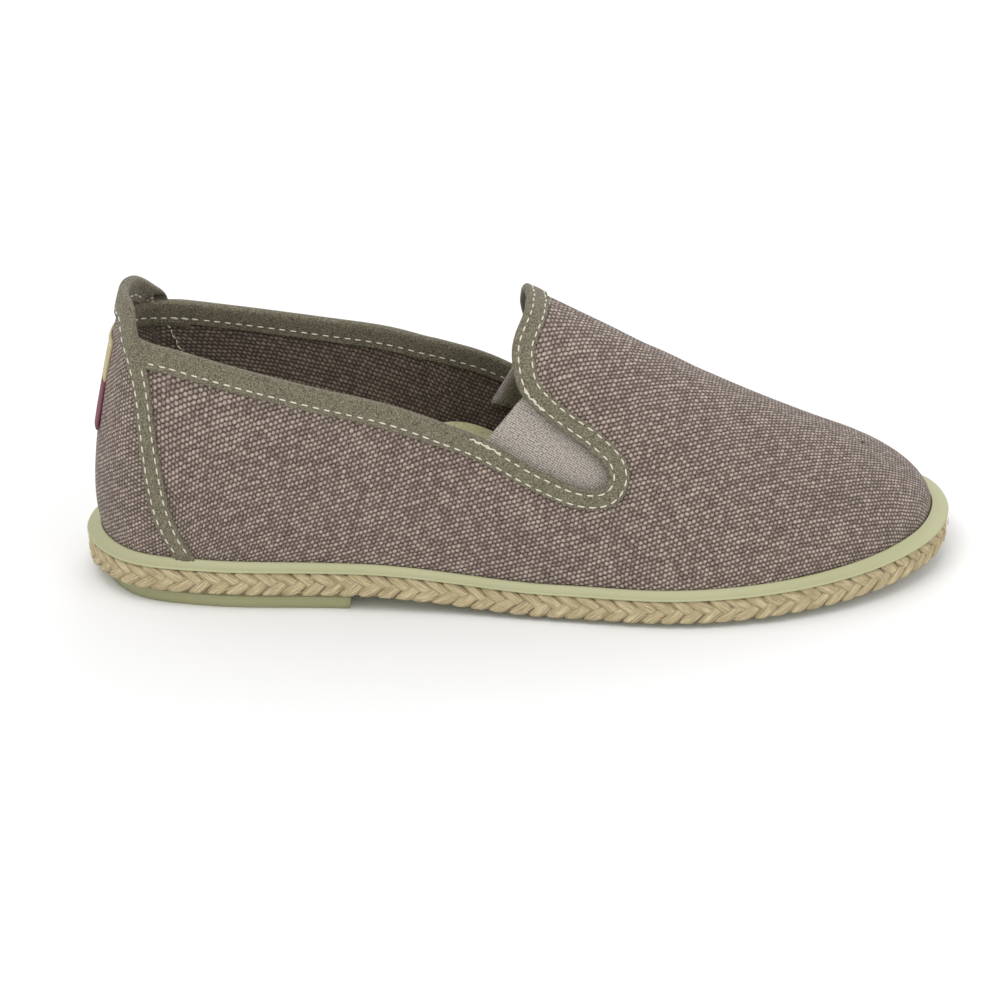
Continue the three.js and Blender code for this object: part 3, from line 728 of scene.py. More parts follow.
def last_normal(u, v):
    """Outward unit normal of the last's surface: the cross product of its two slopes."""
    u, v = np.broadcast_arrays(np.asarray(u, float), np.asarray(v, float))
    home_u = np.where(v > 1, stations - u, u) % stations
    home_v = np.clip(np.where(v > 1, 2 - v, v), 0.0, 1 - 1e-6)
    du, dv = 1.5, 0.012
    along = on_last(home_u + du, home_v) - on_last(home_u - du, home_v)
    high = np.minimum(home_v + dv, 1)
    above = on_last(home_u, high) - on_last(home_u, high - 2 * dv)
    n = np.cross(along, above)
    return n / np.maximum(np.linalg.norm(n, axis=-1, keepdims=True), 1e-9)


def cant(x):
    """How much lower the collar runs for each mm towards the medial side: more at the heel."""
    return collar_cant + (throat_cant - collar_cant) * smoothstep(x, 0, heel_block_length)


# The cut edge seen from the side: share of the length, share of the rise, share of the tape's width.
rim_rows = np.array(
    [
        (0.014, 0.99, 1.1),
        (0.038, 1.018, 1.12),
        (0.057, 1.035, 1.12),
        (0.0685, 0.985, 1.08),
        (0.0775, 0.9, 1.04),
        (0.116, 0.869, 1.02),
        (0.18, 0.82, 1.0),
        (0.275, 0.752, 1.0),
        (0.352, 0.696, 1.0),
        (0.416, 0.62, 0.97),
        (0.458, 0.56, 0.93),
        (0.521, 0.433, 0.85),
        (0.57, 0.367, 0.83),
        (0.593, 0.375, 0.85),
        (0.596, 0.43, 0.87),
        (0.576, 0.506, 0.85),
        (0.528, 0.626, 0.83),
        (0.499, 0.723, 0.88),
        (0.491, 0.806, 0.92),
        (0.491, 0.899, 0.92),
        (0.507, 0.985, 0.92),
        (0.533, 1.07, 0.92),
    ]
)
rim_each = 12
rim_side = smooth_loop(
    np.c_[rim_rows[:, 0] * sole_length, rise_to(rim_rows[:, 1])], closed=False, each=rim_each
)
rim_width = np.interp(np.arange(len(rim_side)) / rim_each, np.arange(len(rim_rows)), rim_rows[:, 2])
medial_skew = 3.2
tab_skew = 4.6


def skew(x, y, z):
    """How far forward the medial side's edge stands of the lateral side's, at the tab and from the
    gore's window on."""
    tab_part = smoothstep(z, 80, 86) * (1 - smoothstep(x, 28, 38))
    tab_part = tab_part * tab_slope(z) * smoothstep(y, -1, 8)
    front_part = smoothstep(x, 104, 126) * smoothstep(y, 3, 20)
    return tab_skew * tab_part + medial_skew * front_part


def tab_slope(z):
    """Share of the tab's skew at a height: its medial side leans back towards the tab's top."""
    return 1 - smoothstep(z, 88, 101)


def rim_depth(x, z):
    """Distance in the side view from the cut edge: positive below it, in the cloth."""
    a, b = rim_side[:-1], rim_side[1:]
    ab = b - a
    p = np.stack([x, z], -1)[:, None, :]
    t = np.clip(((p - a) * ab).sum(-1) / (ab**2).sum(-1), 0, 1)
    gap = np.linalg.norm(p - (a + ab * t[..., None]), axis=-1)
    near = gap.argmin(1)
    off = p[:, 0] - a[near]
    turn_sign = ab[near, 0] * off[:, 1] - ab[near, 1] * off[:, 0]
    return np.where(turn_sign < 0, 1, -1) * gap.min(1)


def soft_creases(p):
    """How far the cloth stands in or out, in mm: shallow troughs where the foot flexes, a hollow
    over each quarter, and a slow unevenness, each a smooth bump in the shoe's own sizes."""
    x, y, z = p[..., 0], p[..., 1], p[..., 2]
    wave = 0.22 * np.sin(x / 17.0 + z / 23.0) * np.sin(z / 15.0 - x / 41.0 + 0.8)
    quarter = -0.5 * np.exp(-(((x - 80) / 34) ** 2) - ((z - 42) / 20) ** 2)
    counter = 0.3 * np.exp(-(((x - 42) / 13) ** 2) - ((z - 58) / 22) ** 2)
    flex = -0.35 * np.exp(-(((x - 186 + 0.35 * np.abs(y)) / 7.0) ** 2)) * smoothstep(z, 24, 44)
    flex -= 0.22 * np.exp(-(((x - 206 + 0.45 * np.abs(y)) / 6.0) ** 2)) * smoothstep(z, 22, 40)
    settle = smoothstep(z, 16, 30)
    return (wave + quarter + counter + flex) * settle


share_steps = 72
shares = np.linspace(0, 1, share_steps + 1)
grid_u, grid_v = np.meshgrid(np.arange(stations), shares)
last_grid = on_last(grid_u, grid_v)
normal_grid = last_normal(grid_u, grid_v)
cloth_grid = last_grid + normal_grid * soft_creases(last_grid)[..., None]
heel_grain = math.radians(11.0)
waist_grain = math.radians(19.5)
vamp_grain = math.radians(38.0)


def thread_directions(place, normal):
    """The cloth's two thread directions on the last: level directions in plan, turned by an angle that
    grows over the vamp, then tipped by the least rotation that takes the vertical to the normal."""
    angle = heel_grain + (waist_grain - heel_grain) * smoothstep(place[..., 0], 50, 115)
    angle = angle + (vamp_grain - waist_grain) * smoothstep(place[..., 0], 125, 205)
    found = []
    for quarter in (0, math.pi / 2):
        level = np.stack([np.cos(angle + quarter), np.sin(angle + quarter), 0 * angle], -1)
        axis = np.stack([-normal[..., 1], normal[..., 0], 0 * angle], -1)
        once = np.cross(axis, level)
        found.append(level + once + np.cross(axis, once) / (1 + normal[..., 2:]))
    return np.stack(found, -2)


def laid_flat():
    """The cloth laid flat: thread counts, in mm, whose steps between neighbours on every fourth rib
    and row are nearest, in least squares, to the steps along the two thread directions. Ribs past
    the throat are tied to their mirror ribs along the vamp's ridge."""
    skip = 4
    place, normal = last_grid[::skip, ::skip], normal_grid[::skip, ::skip]
    rows, ribs = place.shape[:2]
    threads = thread_directions(place, normal)
    index = np.arange(rows * ribs).reshape(rows, ribs)
    spot = place.reshape(-1, 3)
    thread = threads.reshape(-1, 2, 3)
    pairs = [
        (index[:, :-1].ravel(), index[:, 1:].ravel()),
        (index[:-1].ravel(), index[1:].ravel()),
    ]
    matrix = np.zeros((rows * ribs, rows * ribs))
    wanted = np.zeros((rows * ribs, 2))

    def tie(start, stop, weight):
        for one, other, sign in ((start, start, 1), (stop, stop, 1), (start, stop, -1), (stop, start, -1)):
            np.add.at(matrix, (one, other), sign * weight)

    across = np.linalg.norm(spot[pairs[0][1]] - spot[pairs[0][0]], axis=1).mean()
    for start, stop in pairs:
        step = spot[stop] - spot[start]
        length = np.linalg.norm(step, axis=1)
        weight = np.clip(across / np.maximum(length, 0.05), 0.2, 8.0)
        target = np.einsum("ijk,ik->ij", (thread[start] + thread[stop]) / 2, step) * weight[:, None]
        tie(start, stop, weight)
        np.add.at(wanted, stop, target)
        np.add.at(wanted, start, -target)
    ridge = np.arange(open_row * fine // skip, toe_station // skip)
    tie(index[-1, ridge], index[-1, ribs - ridge], 50.0)
    matrix[0, 0] += 1.0
    coarse = np.linalg.solve(matrix, wanted).reshape(rows, ribs, 2)
    row, part = np.divmod(np.arange(share_steps + 1), skip)
    low = np.minimum(row + 1, rows - 1)
    full = coarse[row] * (1 - part / skip)[:, None, None] + coarse[low] * (part / skip)[:, None, None]
    rib, part = np.divmod(np.arange(stations), skip)
    on = np.minimum(rib + 1, ribs - 1)
    return full[:, rib] * (1 - part / skip)[None, :, None] + full[:, on] * (part / skip)[None, :, None]


# The cloth was drawn out of square when it was lasted: each weft row slid back on the one below.
drawn = ((0.913, 0.0), (-0.25, 1.0))
flat = laid_flat() @ np.array(drawn)
canted = cloth_grid[..., 2] + cant(cloth_grid[..., 0]) * cloth_grid[..., 1]
skewed_x = cloth_grid[..., 0] - skew(cloth_grid[..., 0], cloth_grid[..., 1], cloth_grid[..., 2])
depth = rim_depth(skewed_x.ravel(), canted.ravel()).reshape(canted.shape)
canvas_faces = grid_faces(share_steps + 1, stations)
hidden_edge = 2.2
canvas_faces = canvas_faces[(depth.ravel()[canvas_faces] > hidden_edge).all(1)]

# The heel panel is a piece of cloth of its own, cut with its threads turned from the sole's line.
heel_flat = np.stack([lengths[:-1][None, :] + 0 * grid_v, cloth_grid[..., 2]], -1)
heel_flat[..., 0] = np.where(grid_u > toe_station, heel_flat[..., 0] - round_length, heel_flat[..., 0])
panel_turn = math.radians(29.0)
panel_threads = ((math.cos(panel_turn), -math.sin(panel_turn)), (math.sin(panel_turn), math.cos(panel_turn)))
heel_flat = heel_flat @ np.array(panel_threads)
heel_tape_rows = np.array(
    [
        (-0.05, 0.138, 0.1185),
        (0.03, 0.13, 0.108),
        (0.12, 0.116, 0.0935),
        (0.25, 0.104, 0.082),
        (0.4, 0.097, 0.0757),
        (0.54, 0.092, 0.0725),
        (0.68, 0.0885, 0.0695),
        (0.81, 0.084, 0.063),
        (0.93, 0.0765, 0.052),
    ]
)
tape_middle = np.interp(
    cloth_grid[..., 2], rise_to(heel_tape_rows[:, 0]), heel_tape_rows[:, 1:].mean(1) * sole_length
)
behind_tape = cloth_grid[..., 0] < tape_middle


def weave_group():
    """A plain weave of round bumps in staggered rows, from UVs in metres: a Tint share from the gaps
    to the thread crowns, its Relief, and slow cloth-wide Shade."""
    made = bpy.data.node_groups.new("coarse_weave", "ShaderNodeTree")
    face = made.interface
    face.new_socket("Threads", in_out="INPUT", socket_type="NodeSocketVector")
    for name in ("Across", "Up"):
        face.new_socket(name, in_out="INPUT", socket_type="NodeSocketFloat")
    for name in ("Tint", "Relief", "Shade"):
        face.new_socket(name, in_out="OUTPUT", socket_type="NodeSocketFloat")
    enter = made.nodes.new("NodeGroupInput")
    leave = made.nodes.new("NodeGroupOutput")
    where = enter.outputs["Threads"]
    wander = node_of(made, "ShaderNodeTexNoise", {"Vector": where, "Scale": 170.0, "Detail": 2.0})
    wander = wander.outputs["Color"]
    halfway = (0.5, 0.5, 0.5)
    drift = node_of(made, "ShaderNodeVectorMath", {0: wander, 1: halfway}, operation="SUBTRACT")
    drift = node_of(made, "ShaderNodeVectorMath", {0: drift.outputs[0], "Scale": 0.0011}, operation="SCALE")
    drift = drift.outputs[0]
    moved = node_of(made, "ShaderNodeVectorMath", {0: where, 1: drift}, operation="ADD").outputs[0]
    split = node_of(made, "ShaderNodeSeparateXYZ", {0: moved})
    x = maths(made, "DIVIDE", split.outputs[0], enter.outputs["Across"])
    y = maths(made, "DIVIDE", split.outputs[1], enter.outputs["Up"])
    row = maths(made, "FLOOR", y)
    odd = maths(made, "MODULO", maths(made, "ABSOLUTE", row), 2.0)
    x = maths(made, "ADD", x, maths(made, "MULTIPLY", odd, 0.5))
    fx = maths(made, "SUBTRACT", maths(made, "FRACT", x), 0.5)
    fy = maths(made, "SUBTRACT", maths(made, "FRACT", y), 0.5)
    cell = node_of(made, "ShaderNodeCombineXYZ", {0: maths(made, "FLOOR", x), 1: row}).outputs[0]
    luck = node_of(made, "ShaderNodeTexWhiteNoise", {"Vector": cell}, noise_dimensions="2D")
    luck = luck.outputs["Value"]
    fx2 = maths(made, "MULTIPLY", maths(made, "MULTIPLY", fx, fx), 4.4)
    fy2 = maths(made, "MULTIPLY", maths(made, "MULTIPLY", fy, fy), 5.0)
    size = maths(made, "MULTIPLY_ADD", luck, 0.5, 0.9)
    gone = maths(made, "DIVIDE", maths(made, "ADD", fx2, fy2), size)
    round_bump = maths(made, "MAXIMUM", maths(made, "SUBTRACT", 1.0, gone), 0.0)
    fuzz = noise(made, where, 1900.0, 3.0)
    streak = node_of(made, "ShaderNodeMapping", {"Vector": where, "Scale": (60.0, 900.0, 1.0)}).outputs[0]
    streaks = noise(made, streak, 1.0, 2.0)
    lit = maths(made, "MULTIPLY", round_bump, maths(made, "MULTIPLY_ADD", luck, 0.55, 0.45))
    lit = maths(made, "MULTIPLY_ADD", fuzz, 1.1, maths(made, "SUBTRACT", lit, 0.46))
    made.links.new(lit, leave.inputs["Tint"])
    relief = maths(made, "MULTIPLY_ADD", fuzz, 0.15, maths(made, "SQRT", round_bump))
    made.links.new(relief, leave.inputs["Relief"])
    made.links.new(streaks, leave.inputs["Shade"])
    return made


coarse_weave = weave_group()


def weave_in(tree, across, up):
    """The weave's outputs on the cloth's UVs, for threads of a size across and up in metres."""
    links = {"Threads": threads_in(tree), "Across": across, "Up": up}
    return node_of(tree, "ShaderNodeGroup", links, node_tree=coarse_weave).outputs


def woven_cloth(name, gaps, crowns, depth):
    """The coarse cloth's material, from its darkest gap to its brightest thread, with slow clouds
    and slubs along the weft."""
    cloth = plain_material(name, (0.3, 0.24, 0.21), 0.95)
    tree = cloth.node_tree
    weave = weave_in(tree, 0.00147, 0.00129)
    tint = blend_of(tree, weave["Tint"], gaps, crowns)
    cloudy = maths(tree, "MULTIPLY_ADD", noise(tree, place_in(tree), 35.0, 3.0), 0.2, 0.9)
    slubs = maths(tree, "MULTIPLY_ADD", weave["Shade"], 0.26, 0.87)
    veil = maths(tree, "MULTIPLY", cloudy, slubs)
    veil = node_of(tree, "ShaderNodeCombineColor", {0: veil, 1: veil, 2: veil}).outputs[0]
    shader = dress(tree, blend_of(tree, 1.0, tint, veil, "MULTIPLY"), weave["Relief"], depth, 0.0007)
    shader.inputs["Specular IOR Level"].default_value = 0.2
    shader.inputs["Sheen Weight"].default_value = 0.15
    return cloth


canvas = woven_cloth("canvas_cloth", (0.06, 0.039, 0.03, 1), (0.49, 0.39, 0.328, 1), 0.85)


def cut_out(name, points, faces, material, uv):
    """A piece of cloth from the points that its faces use."""
    used = np.unique(faces)
    renumber = np.zeros(len(points), dtype=int)
    renumber[used] = np.arange(len(used))
    return put_in(name, points[used], renumber[faces], material, "canvas", uv=uv[used])


panel_uv = np.where(behind_tape.reshape(-1, 1), heel_flat.reshape(-1, 2), flat.reshape(-1, 2))
upper = cut_out("canvas_upper", cloth_grid.reshape(-1, 3), canvas_faces, canvas, panel_uv)
body = bmesh.new()
body.from_mesh(upper.data)
bmesh.ops.remove_doubles(body, verts=body.verts, dist=0.00002)
body.to_mesh(upper.data)
body.free()
thickened(upper, "cloth_thickness", canvas_thickness)
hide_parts("upper")

# The canvas's lining: a second layer of the same cloth, bonded to the outer one before it is cut. It
# shows on the inside of the shaft, in darker colours than the canvas: painted shade inside the shoe.
ply_gap = 0.06
ply_thickness = 0.25
ply_edge = 3.0
# The lining's colours are the canvas's made darker: painted shade on the shaft's inside.
shaded_inside_cloth = woven_cloth("canvas_inside_shaded", (0.04, 0.027, 0.02, 1), (0.28, 0.222, 0.18, 1), 0.5)
inner_step = 2
inner_grid = (cloth_grid - normal_grid * (canvas_thickness + ply_gap))[::inner_step, ::inner_step]
inner_rows, inner_ribs = inner_grid.shape[:2]
inner_faces = grid_faces(inner_rows, inner_ribs)
inner_depth = depth[::inner_step, ::inner_step].ravel()
inner_faces = inner_faces[(inner_depth[inner_faces] > ply_edge).all(1)]
inner_uv = panel_uv.reshape(share_steps + 1, stations, 2)[::inner_step, ::inner_step].reshape(-1, 2)
inner_layer = cut_out("canvas_inside_shaded", inner_grid.reshape(-1, 3), inner_faces, shaded_inside_cloth, inner_uv)
thickened(inner_layer, "ply_thickness", ply_thickness)


def solve_side(x, z, lateral_side, canted_line=True, rounds=10):
    """Stations and shares where the last's surface passes points of the side view: the nearest grid
    point on that side, then Newton's steps on the two side-view coordinates."""
    half = slice(1, toe_station) if lateral_side else slice(toe_station + 1, stations)
    field = last_grid[:, half]
    shear = cant if canted_line else (lambda value: 0.0 * value)
    seen = np.stack([field[..., 0], field[..., 2] + shear(field[..., 0]) * field[..., 1]], -1).reshape(-1, 2)
    wanted = np.stack([x, z], -1)
    near = ((wanted[:, None] - seen[None]) ** 2).sum(-1).argmin(1)
    u, v = grid_u[:, half].ravel()[near].astype(float), grid_v[:, half].ravel()[near]
    for _ in range(rounds):
        now = on_last(u, v)
        along, above = slopes(u, v)
        k = shear(now[:, 0])
        miss = wanted - np.stack([now[:, 0], now[:, 2] + k * now[:, 1]], -1)
        a, b = along[:, 0], above[:, 0]
        c, d = along[:, 2] + k * along[:, 1], above[:, 2] + k * above[:, 1]
        full = a * d - b * c
        full = np.where(np.abs(full) < 1e-6, 1e-6, full)
        u = u + np.clip((d * miss[:, 0] - b * miss[:, 1]) / full, -6, 6)
        v = np.clip(v + np.clip((a * miss[:, 1] - c * miss[:, 0]) / full, -0.08, 0.08), -0.05, 1.0)
    return u, v


def cross_rib(rib_numbers, level):
    """Share at which each section first passes a side-view height that depends on x."""
    columns = np.mod(rib_numbers, stations)
    field = last_grid[:, columns]
    above = field[..., 2] + cant(field[..., 0]) * field[..., 1] - level(field[..., 0])
    first = np.clip((above > 0).argmax(0), 1, share_steps)
    pick = np.arange(len(rib_numbers))
    low, high = above[first - 1, pick], above[first, pick]
    return shares[first - 1] + (0 - low) / (high - low) / share_steps


forward_part = rim_side[: 11 * rim_each]
rim_level = lambda x: np.interp(x, forward_part[:, 0], forward_part[:, 1])
collar_level = lambda x: np.minimum(rim_level(x), rise_to(0.942 - 0.62 * x / sole_length))
crown_line = last_grid[-1]
ridge_ribs = np.arange(open_row * fine, toe_station + 1)
ribs_to_x = 112.0
points_from_x = 113.5
points_from_row = 8
throat_row = 17


def half_rim(lateral_side):
    """The bound edge on one side, from the heel's back to the throat's middle: where the sections
    cross it as far as the waist, then points of the side view."""
    ribs = np.arange(0, 5 * fine)
    turned_ribs = ribs if lateral_side else -ribs
    share = cross_rib(turned_ribs, collar_level)
    place = on_last(turned_ribs, share)
    keep = place[:, 0] < ribs_to_x
    ribs, share = ribs[keep].astype(float), share[keep]
    past = np.arange(len(rim_side))
    over = rim_side[:, 1] - np.interp(rim_side[:, 0], crown_line[ridge_ribs, 0], crown_line[ridge_ribs, 2])
    on_side = (past > points_from_row * rim_each) & (rim_side[:, 0] > points_from_x)
    on_side &= (over < -0.6) | (past < throat_row * rim_each)
    seen_x, seen_z = rim_side[on_side, 0], rim_side[on_side, 1]
    if not lateral_side:
        seen_x = seen_x + medial_skew * smoothstep(seen_x, 104, 126) * smoothstep(-over[on_side], 0, 12)
    u, v = solve_side(seen_x, seen_z, lateral_side)
    u = u if lateral_side else stations - u
    late = past[(past > throat_row * rim_each) & (over > 0)][0]
    share_over = over[late - 1] / (over[late - 1] - over[late])
    x_top = rim_side[late - 1, 0] + share_over * (rim_side[late, 0] - rim_side[late - 1, 0])
    top = np.interp(x_top, crown_line[ridge_ribs, 0], ridge_ribs)
    widths = np.interp(place[keep, 0], forward_part[:, 0], rim_width[: len(forward_part)])
    tape_share = np.concatenate([widths, rim_width[on_side], [rim_width[late]]])
    return np.concatenate([ribs, u, [top]]), np.concatenate([share, v, [1.0]]), tape_share


def spaced(u, v, more, step):
    """A path on the last resampled at equal steps of length, its other columns with it."""
    run = run_of(on_last(u, v))
    steps = np.linspace(0, run[-1], int(round(run[-1] / step)) + 1)
    return np.interp(steps, run, u), np.interp(steps, run, v), [np.interp(steps, run, m) for m in more]


def eased(values, times=3):
    """Values smoothed along a path, its ends kept."""
    for _ in range(times):
        values = np.concatenate([values[:1], (values[:-2] + 2 * values[1:-1] + values[2:]) / 4, values[-1:]])
    return values


def unit(vectors):
    """Vectors at length one."""
    return vectors / np.maximum(np.linalg.norm(vectors, axis=-1, keepdims=True), 1e-9)


def levels_inwards(u, v, width, inwards, count=12):
    """Rows of points at equal steps from a path into the cloth, up to a width that varies along it:
    each step goes straight on and is drawn back to the surface by Gauss and Newton's steps."""
    place = on_last(u, v)
    path_tangent = unit(np.gradient(place, axis=0))
    heading = unit(np.cross(last_normal(u, v), path_tangent)) * inwards
    us, vs = [u], [v]
    for _ in range(count):
        target = on_last(us[-1], vs[-1]) + heading * (width / count)[:, None]
        nu, nv = us[-1].copy(), vs[-1].copy()
        for _ in range(4):
            along, above = slopes(nu, nv)
            miss = target - on_last(nu, nv)
            aa, bb, ab = (along**2).sum(-1), (above**2).sum(-1), (along * above).sum(-1)
            am, bm = (along * miss).sum(-1), (above * miss).sum(-1)
            full = np.maximum(aa * bb - ab * ab, 1e-9)
            nu = nu + np.clip((bb * am - ab * bm) / full, -4, 4)
            nv = nv + np.clip((aa * bm - ab * am) / full, -0.05, 0.05)
        n = last_normal(nu, nv)
        heading = unit(heading - n * (heading * n).sum(-1, keepdims=True))
        us.append(nu)
        vs.append(nv)
    return np.array(us), np.array(vs), unit(np.cross(last_normal(u, v), path_tangent)) * inwards


def on_cloth(u, v):
    """The canvas's outer face: the last's surface with its creases, and its outward direction."""
    p, n = on_last(u, v), last_normal(u, v)
    return p + n * soft_creases(p)[..., None], n


class Strip:
    """Tape laid along a path on the cloth: a place for any share of its width, at any height."""

    def __init__(self, us, vs, edge_heading, width):
        self.p, self.n = on_cloth(us, vs)
        self.width = width
        self.heading = edge_heading
        self.run = run_of(self.p[0])

    def at(self, share, height, past=0.0):
        """Places at a share of the width and a height off the cloth, moved past the path's edge."""
        count = len(self.p) - 1
        share = np.broadcast_to(share, (len(self.run),))
        level = np.clip(share, 0, 1) * count
        low = np.minimum(np.floor(level).astype(int), count - 1)
        part = (level - low)[:, None]
        pick = np.arange(len(self.run))
        place = self.p[low, pick] * (1 - part) + self.p[low + 1, pick] * part
        normal = unit(self.n[low, pick] * (1 - part) + self.n[low + 1, pick] * part)
        height = np.broadcast_to(height, (len(self.run),))[:, None]
        return place + normal * height - self.heading * np.reshape(past, (-1, 1)), normal

    def swept(self, sections):
        """Points and faces of a closed section of (share, height) rows swept along the strip."""
        points = np.stack([self.at(share, height)[0] for share, height in sections], 1)
        rows, count = points.shape[:2]
        faces = grid_faces(rows, count).tolist()
        faces.append(list(range(count))[::-1])
        faces.append(list(range((rows - 1) * count, rows * count)))
        across = np.concatenate([[0], np.cumsum(np.linalg.norm(np.diff(points, axis=1), axis=2).mean(0))])
        uv = np.stack(np.broadcast_arrays(self.run[:, None], across[None, :]), -1)
        return points.reshape(-1, 3), faces, uv.reshape(-1, 2)


# The elastic gores: ribbed webbing set in behind the canvas at both sides of the throat, so that
# the shoe slips on, and sewn in with the binding. The window's edge stands over the webbing.
gore_from = {True: 10.0, False: 10.62}  # rows of the cut edge, lateral and medial
gore_to = throat_row
web_rows, web_ribs = 40, 22
gore_overlap = 5.6
gore_depth = 3.3
elastic_thickness = 1.2
tape_width = 7.9


def gore_points(lateral_side, deeper=0.0):
    """A web between the window's two long edges, each drawn back by the overlap: the share along
    them runs from the free edge to the far end, and the share across joins them."""
    line = rim_side[int(gore_from[lateral_side] * rim_each) : gore_to * rim_each + 1]
    line = line + np.array([0.0 if lateral_side else medial_skew, 0.0])
    tangent = unit(np.gradient(line, axis=0))
    spare = (0.0 if lateral_side else 9.0) * np.exp(-np.arange(len(line)) / 14.0)[:, None]
    aside = np.stack([tangent[:, 1], -tangent[:, 0]], -1)
    moved = line + aside * (gore_overlap + spare) - tangent * spare * 0.5
    middle = len(line) // 2 + 2
    lower, upper_edge = moved[: middle + 1], moved[middle:][::-1]
    t = np.linspace(0, 1, web_rows)
    a, b = (rows_at(t, np.linspace(0, 1, len(edge)), edge) for edge in (lower, upper_edge))
    q = np.linspace(0, 1, web_ribs)[None, :, None]
    web = a[:, None] * (1 - q) + b[:, None] * q
    u, v = solve_side(web[..., 0].ravel(), web[..., 1].ravel(), lateral_side)
    p, n = on_last(u, v), last_normal(u, v)
    sag = 0.5 * np.sin(math.pi * q[..., 0]) * np.exp(-t[:, None] * 2.0)
    sunk = p - n * (gore_depth + deeper + sag.ravel())[:, None]
    long_way = unit(line[len(line) // 2] - (line[0] + line[-1]) / 2)
    flat_web = web.reshape(-1, 2)
    uv = np.stack([flat_web @ long_way, flat_web @ np.array([-long_way[1], long_way[0]])], -1)
    return sunk, uv


elastic = plain_material("elastic_webbing", (0.42, 0.38, 0.35), 0.8)
tree = elastic.node_tree
threads = threads_in(tree)
split = node_of(tree, "ShaderNodeSeparateXYZ", {0: threads})
rib = maths(tree, "SINE", maths(tree, "MULTIPLY", split.outputs[1], 2 * math.pi / 0.00072))
pick_row = maths(tree, "SINE", maths(tree, "MULTIPLY", split.outputs[0], 2 * math.pi / 0.00083))
knit = maths(tree, "MULTIPLY_ADD", rib, 0.25, 0.5)
knit = maths(tree, "MULTIPLY_ADD", pick_row, 0.16, knit)
lint = noise(tree, threads, 1500.0, 2.0)
share = maths(tree, "MULTIPLY_ADD", maths(tree, "SUBTRACT", lint, 0.5), 2.2, knit)
tint = blend_of(tree, share, (0.17, 0.15, 0.125, 1), (0.54, 0.49, 0.435, 1))
shader = dress(tree, tint, knit, 0.6, 0.0003)
shader.inputs["Specular IOR Level"].default_value = 0.3

for side_name, is_lateral in (("lateral", True), ("medial", False)):
    web, web_uv = gore_points(is_lateral)
    web_faces = grid_faces(web_rows, web_ribs, closed_round=False)
    if is_lateral:
        web_faces = web_faces[:, ::-1]
    gore = put_in("elastic_" + side_name, web, web_faces, elastic, "elastic", uv=web_uv)
    thickened(gore, "webbing_thickness", elastic_thickness)
    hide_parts("gore_" + side_name)

# The binding: plain-woven cotton tape folded over the canvas's cut edge and sewn through, from the
# heel tape along the collar, round the gore's window, over the throat and back on the other side.
lateral_u, lateral_v, lateral_share = half_rim(True)
medial_u, medial_v, medial_share = half_rim(False)
rim_u = np.concatenate([lateral_u, medial_u[-2::-1]])
rim_v = np.concatenate([lateral_v, 2 - medial_v[-2::-1]])
rim_share = np.concatenate([lateral_share, medial_share[-2::-1]])
tape_step = 1.1
rim_u, rim_v, (rim_share,) = spaced(rim_u, rim_v, [rim_share], tape_step)
rim_u, rim_v, rim_share = eased(rim_u), eased(rim_v), eased(rim_share, 6)
rim_place = on_last(rim_u, rim_v)
collar_start = 19.5 + 0.8 * tab_skew * (rim_place[:, 1] > 0)
collar_rows = np.flatnonzero(rim_place[:, 0] > collar_start)
collar_rows = np.arange(collar_rows[0], collar_rows[-1] + 1)
collar_u, collar_v = rim_u[collar_rows], rim_v[collar_rows]
collar_width = rim_share[collar_rows] * tape_width
us, vs, heading = levels_inwards(collar_u, collar_v, collar_width, -1.0)
collar = Strip(us, vs, heading, collar_width)
tape_stand = 0.85
inside_row = 0.74


def tape_section(strip, seams, seam_pitch, low_ends=0.0, folded=1.0, top=0.95):
    """The folded tape's section: outer face from its lower edge up, a round fold over the cut edge,
    and the inner face down. It sinks at each seam and swells between, with a pucker to each stitch.
    Where it isn't folded, the inner face draws up to nothing at the tape's edge."""
    outer = top - low_ends
    rows = []
    slow = 0.10 * np.sin(strip.run / 9.0) + 0.07 * np.sin(strip.run / 3.7 + 1.0)
    for share in (1.0, 1.0, 0.985, 0.95, 0.9, 0.84, 0.78, 0.7, 0.6, 0.5, 0.4, 0.32, 0.26, 0.2, 0.15):
        height = outer + slow * 0.6 + 0.10 * math.sin(math.pi * share)
        for seam, sewn in seams:
            sink = sewn * np.exp(-(((share - seam) / 0.075) ** 2))
            height = height - sink * (0.2 + 0.08 * np.cos(2 * math.pi * strip.run / seam_pitch))
        rows.append([share, height])
    rows[0][1] = 0.02 + 0 * strip.run
    rows[1][1] = rows[1][1] * 0.62
    fold = np.linspace(math.pi / 2, -math.pi / 2, 9)
    inner_face = 0.04 - (canvas_thickness + tape_stand + 0.04) * folded
    middle, reach = (outer + 0.1 + inner_face) / 2, (outer - inner_face) / 2
    for angle in fold:
        deep = (0.45 + 0.55 * folded) * (1.0 - math.cos(angle)) / strip.width
        rows.append([deep, middle + (reach + 0.5 * slow) * math.sin(angle)])
    for share in (0.2, 0.35, 0.5, 0.6, 0.68, 0.76, 0.86, 0.94, 0.98, 1.0):
        sink = math.exp(-(((share - inside_row) / 0.06) ** 2))
        rows.append([share * folded, inner_face + folded * (0.2 * sink - 0.1) + 0 * strip.run])
    rows.append([folded, inner_face + 0.5 * folded + 0 * strip.run])
    rows.append([folded, 0.04 + folded * (0.01 - canvas_thickness) + 0 * strip.run])
    return [(np.broadcast_to(share, strip.run.shape), height) for share, height in rows]


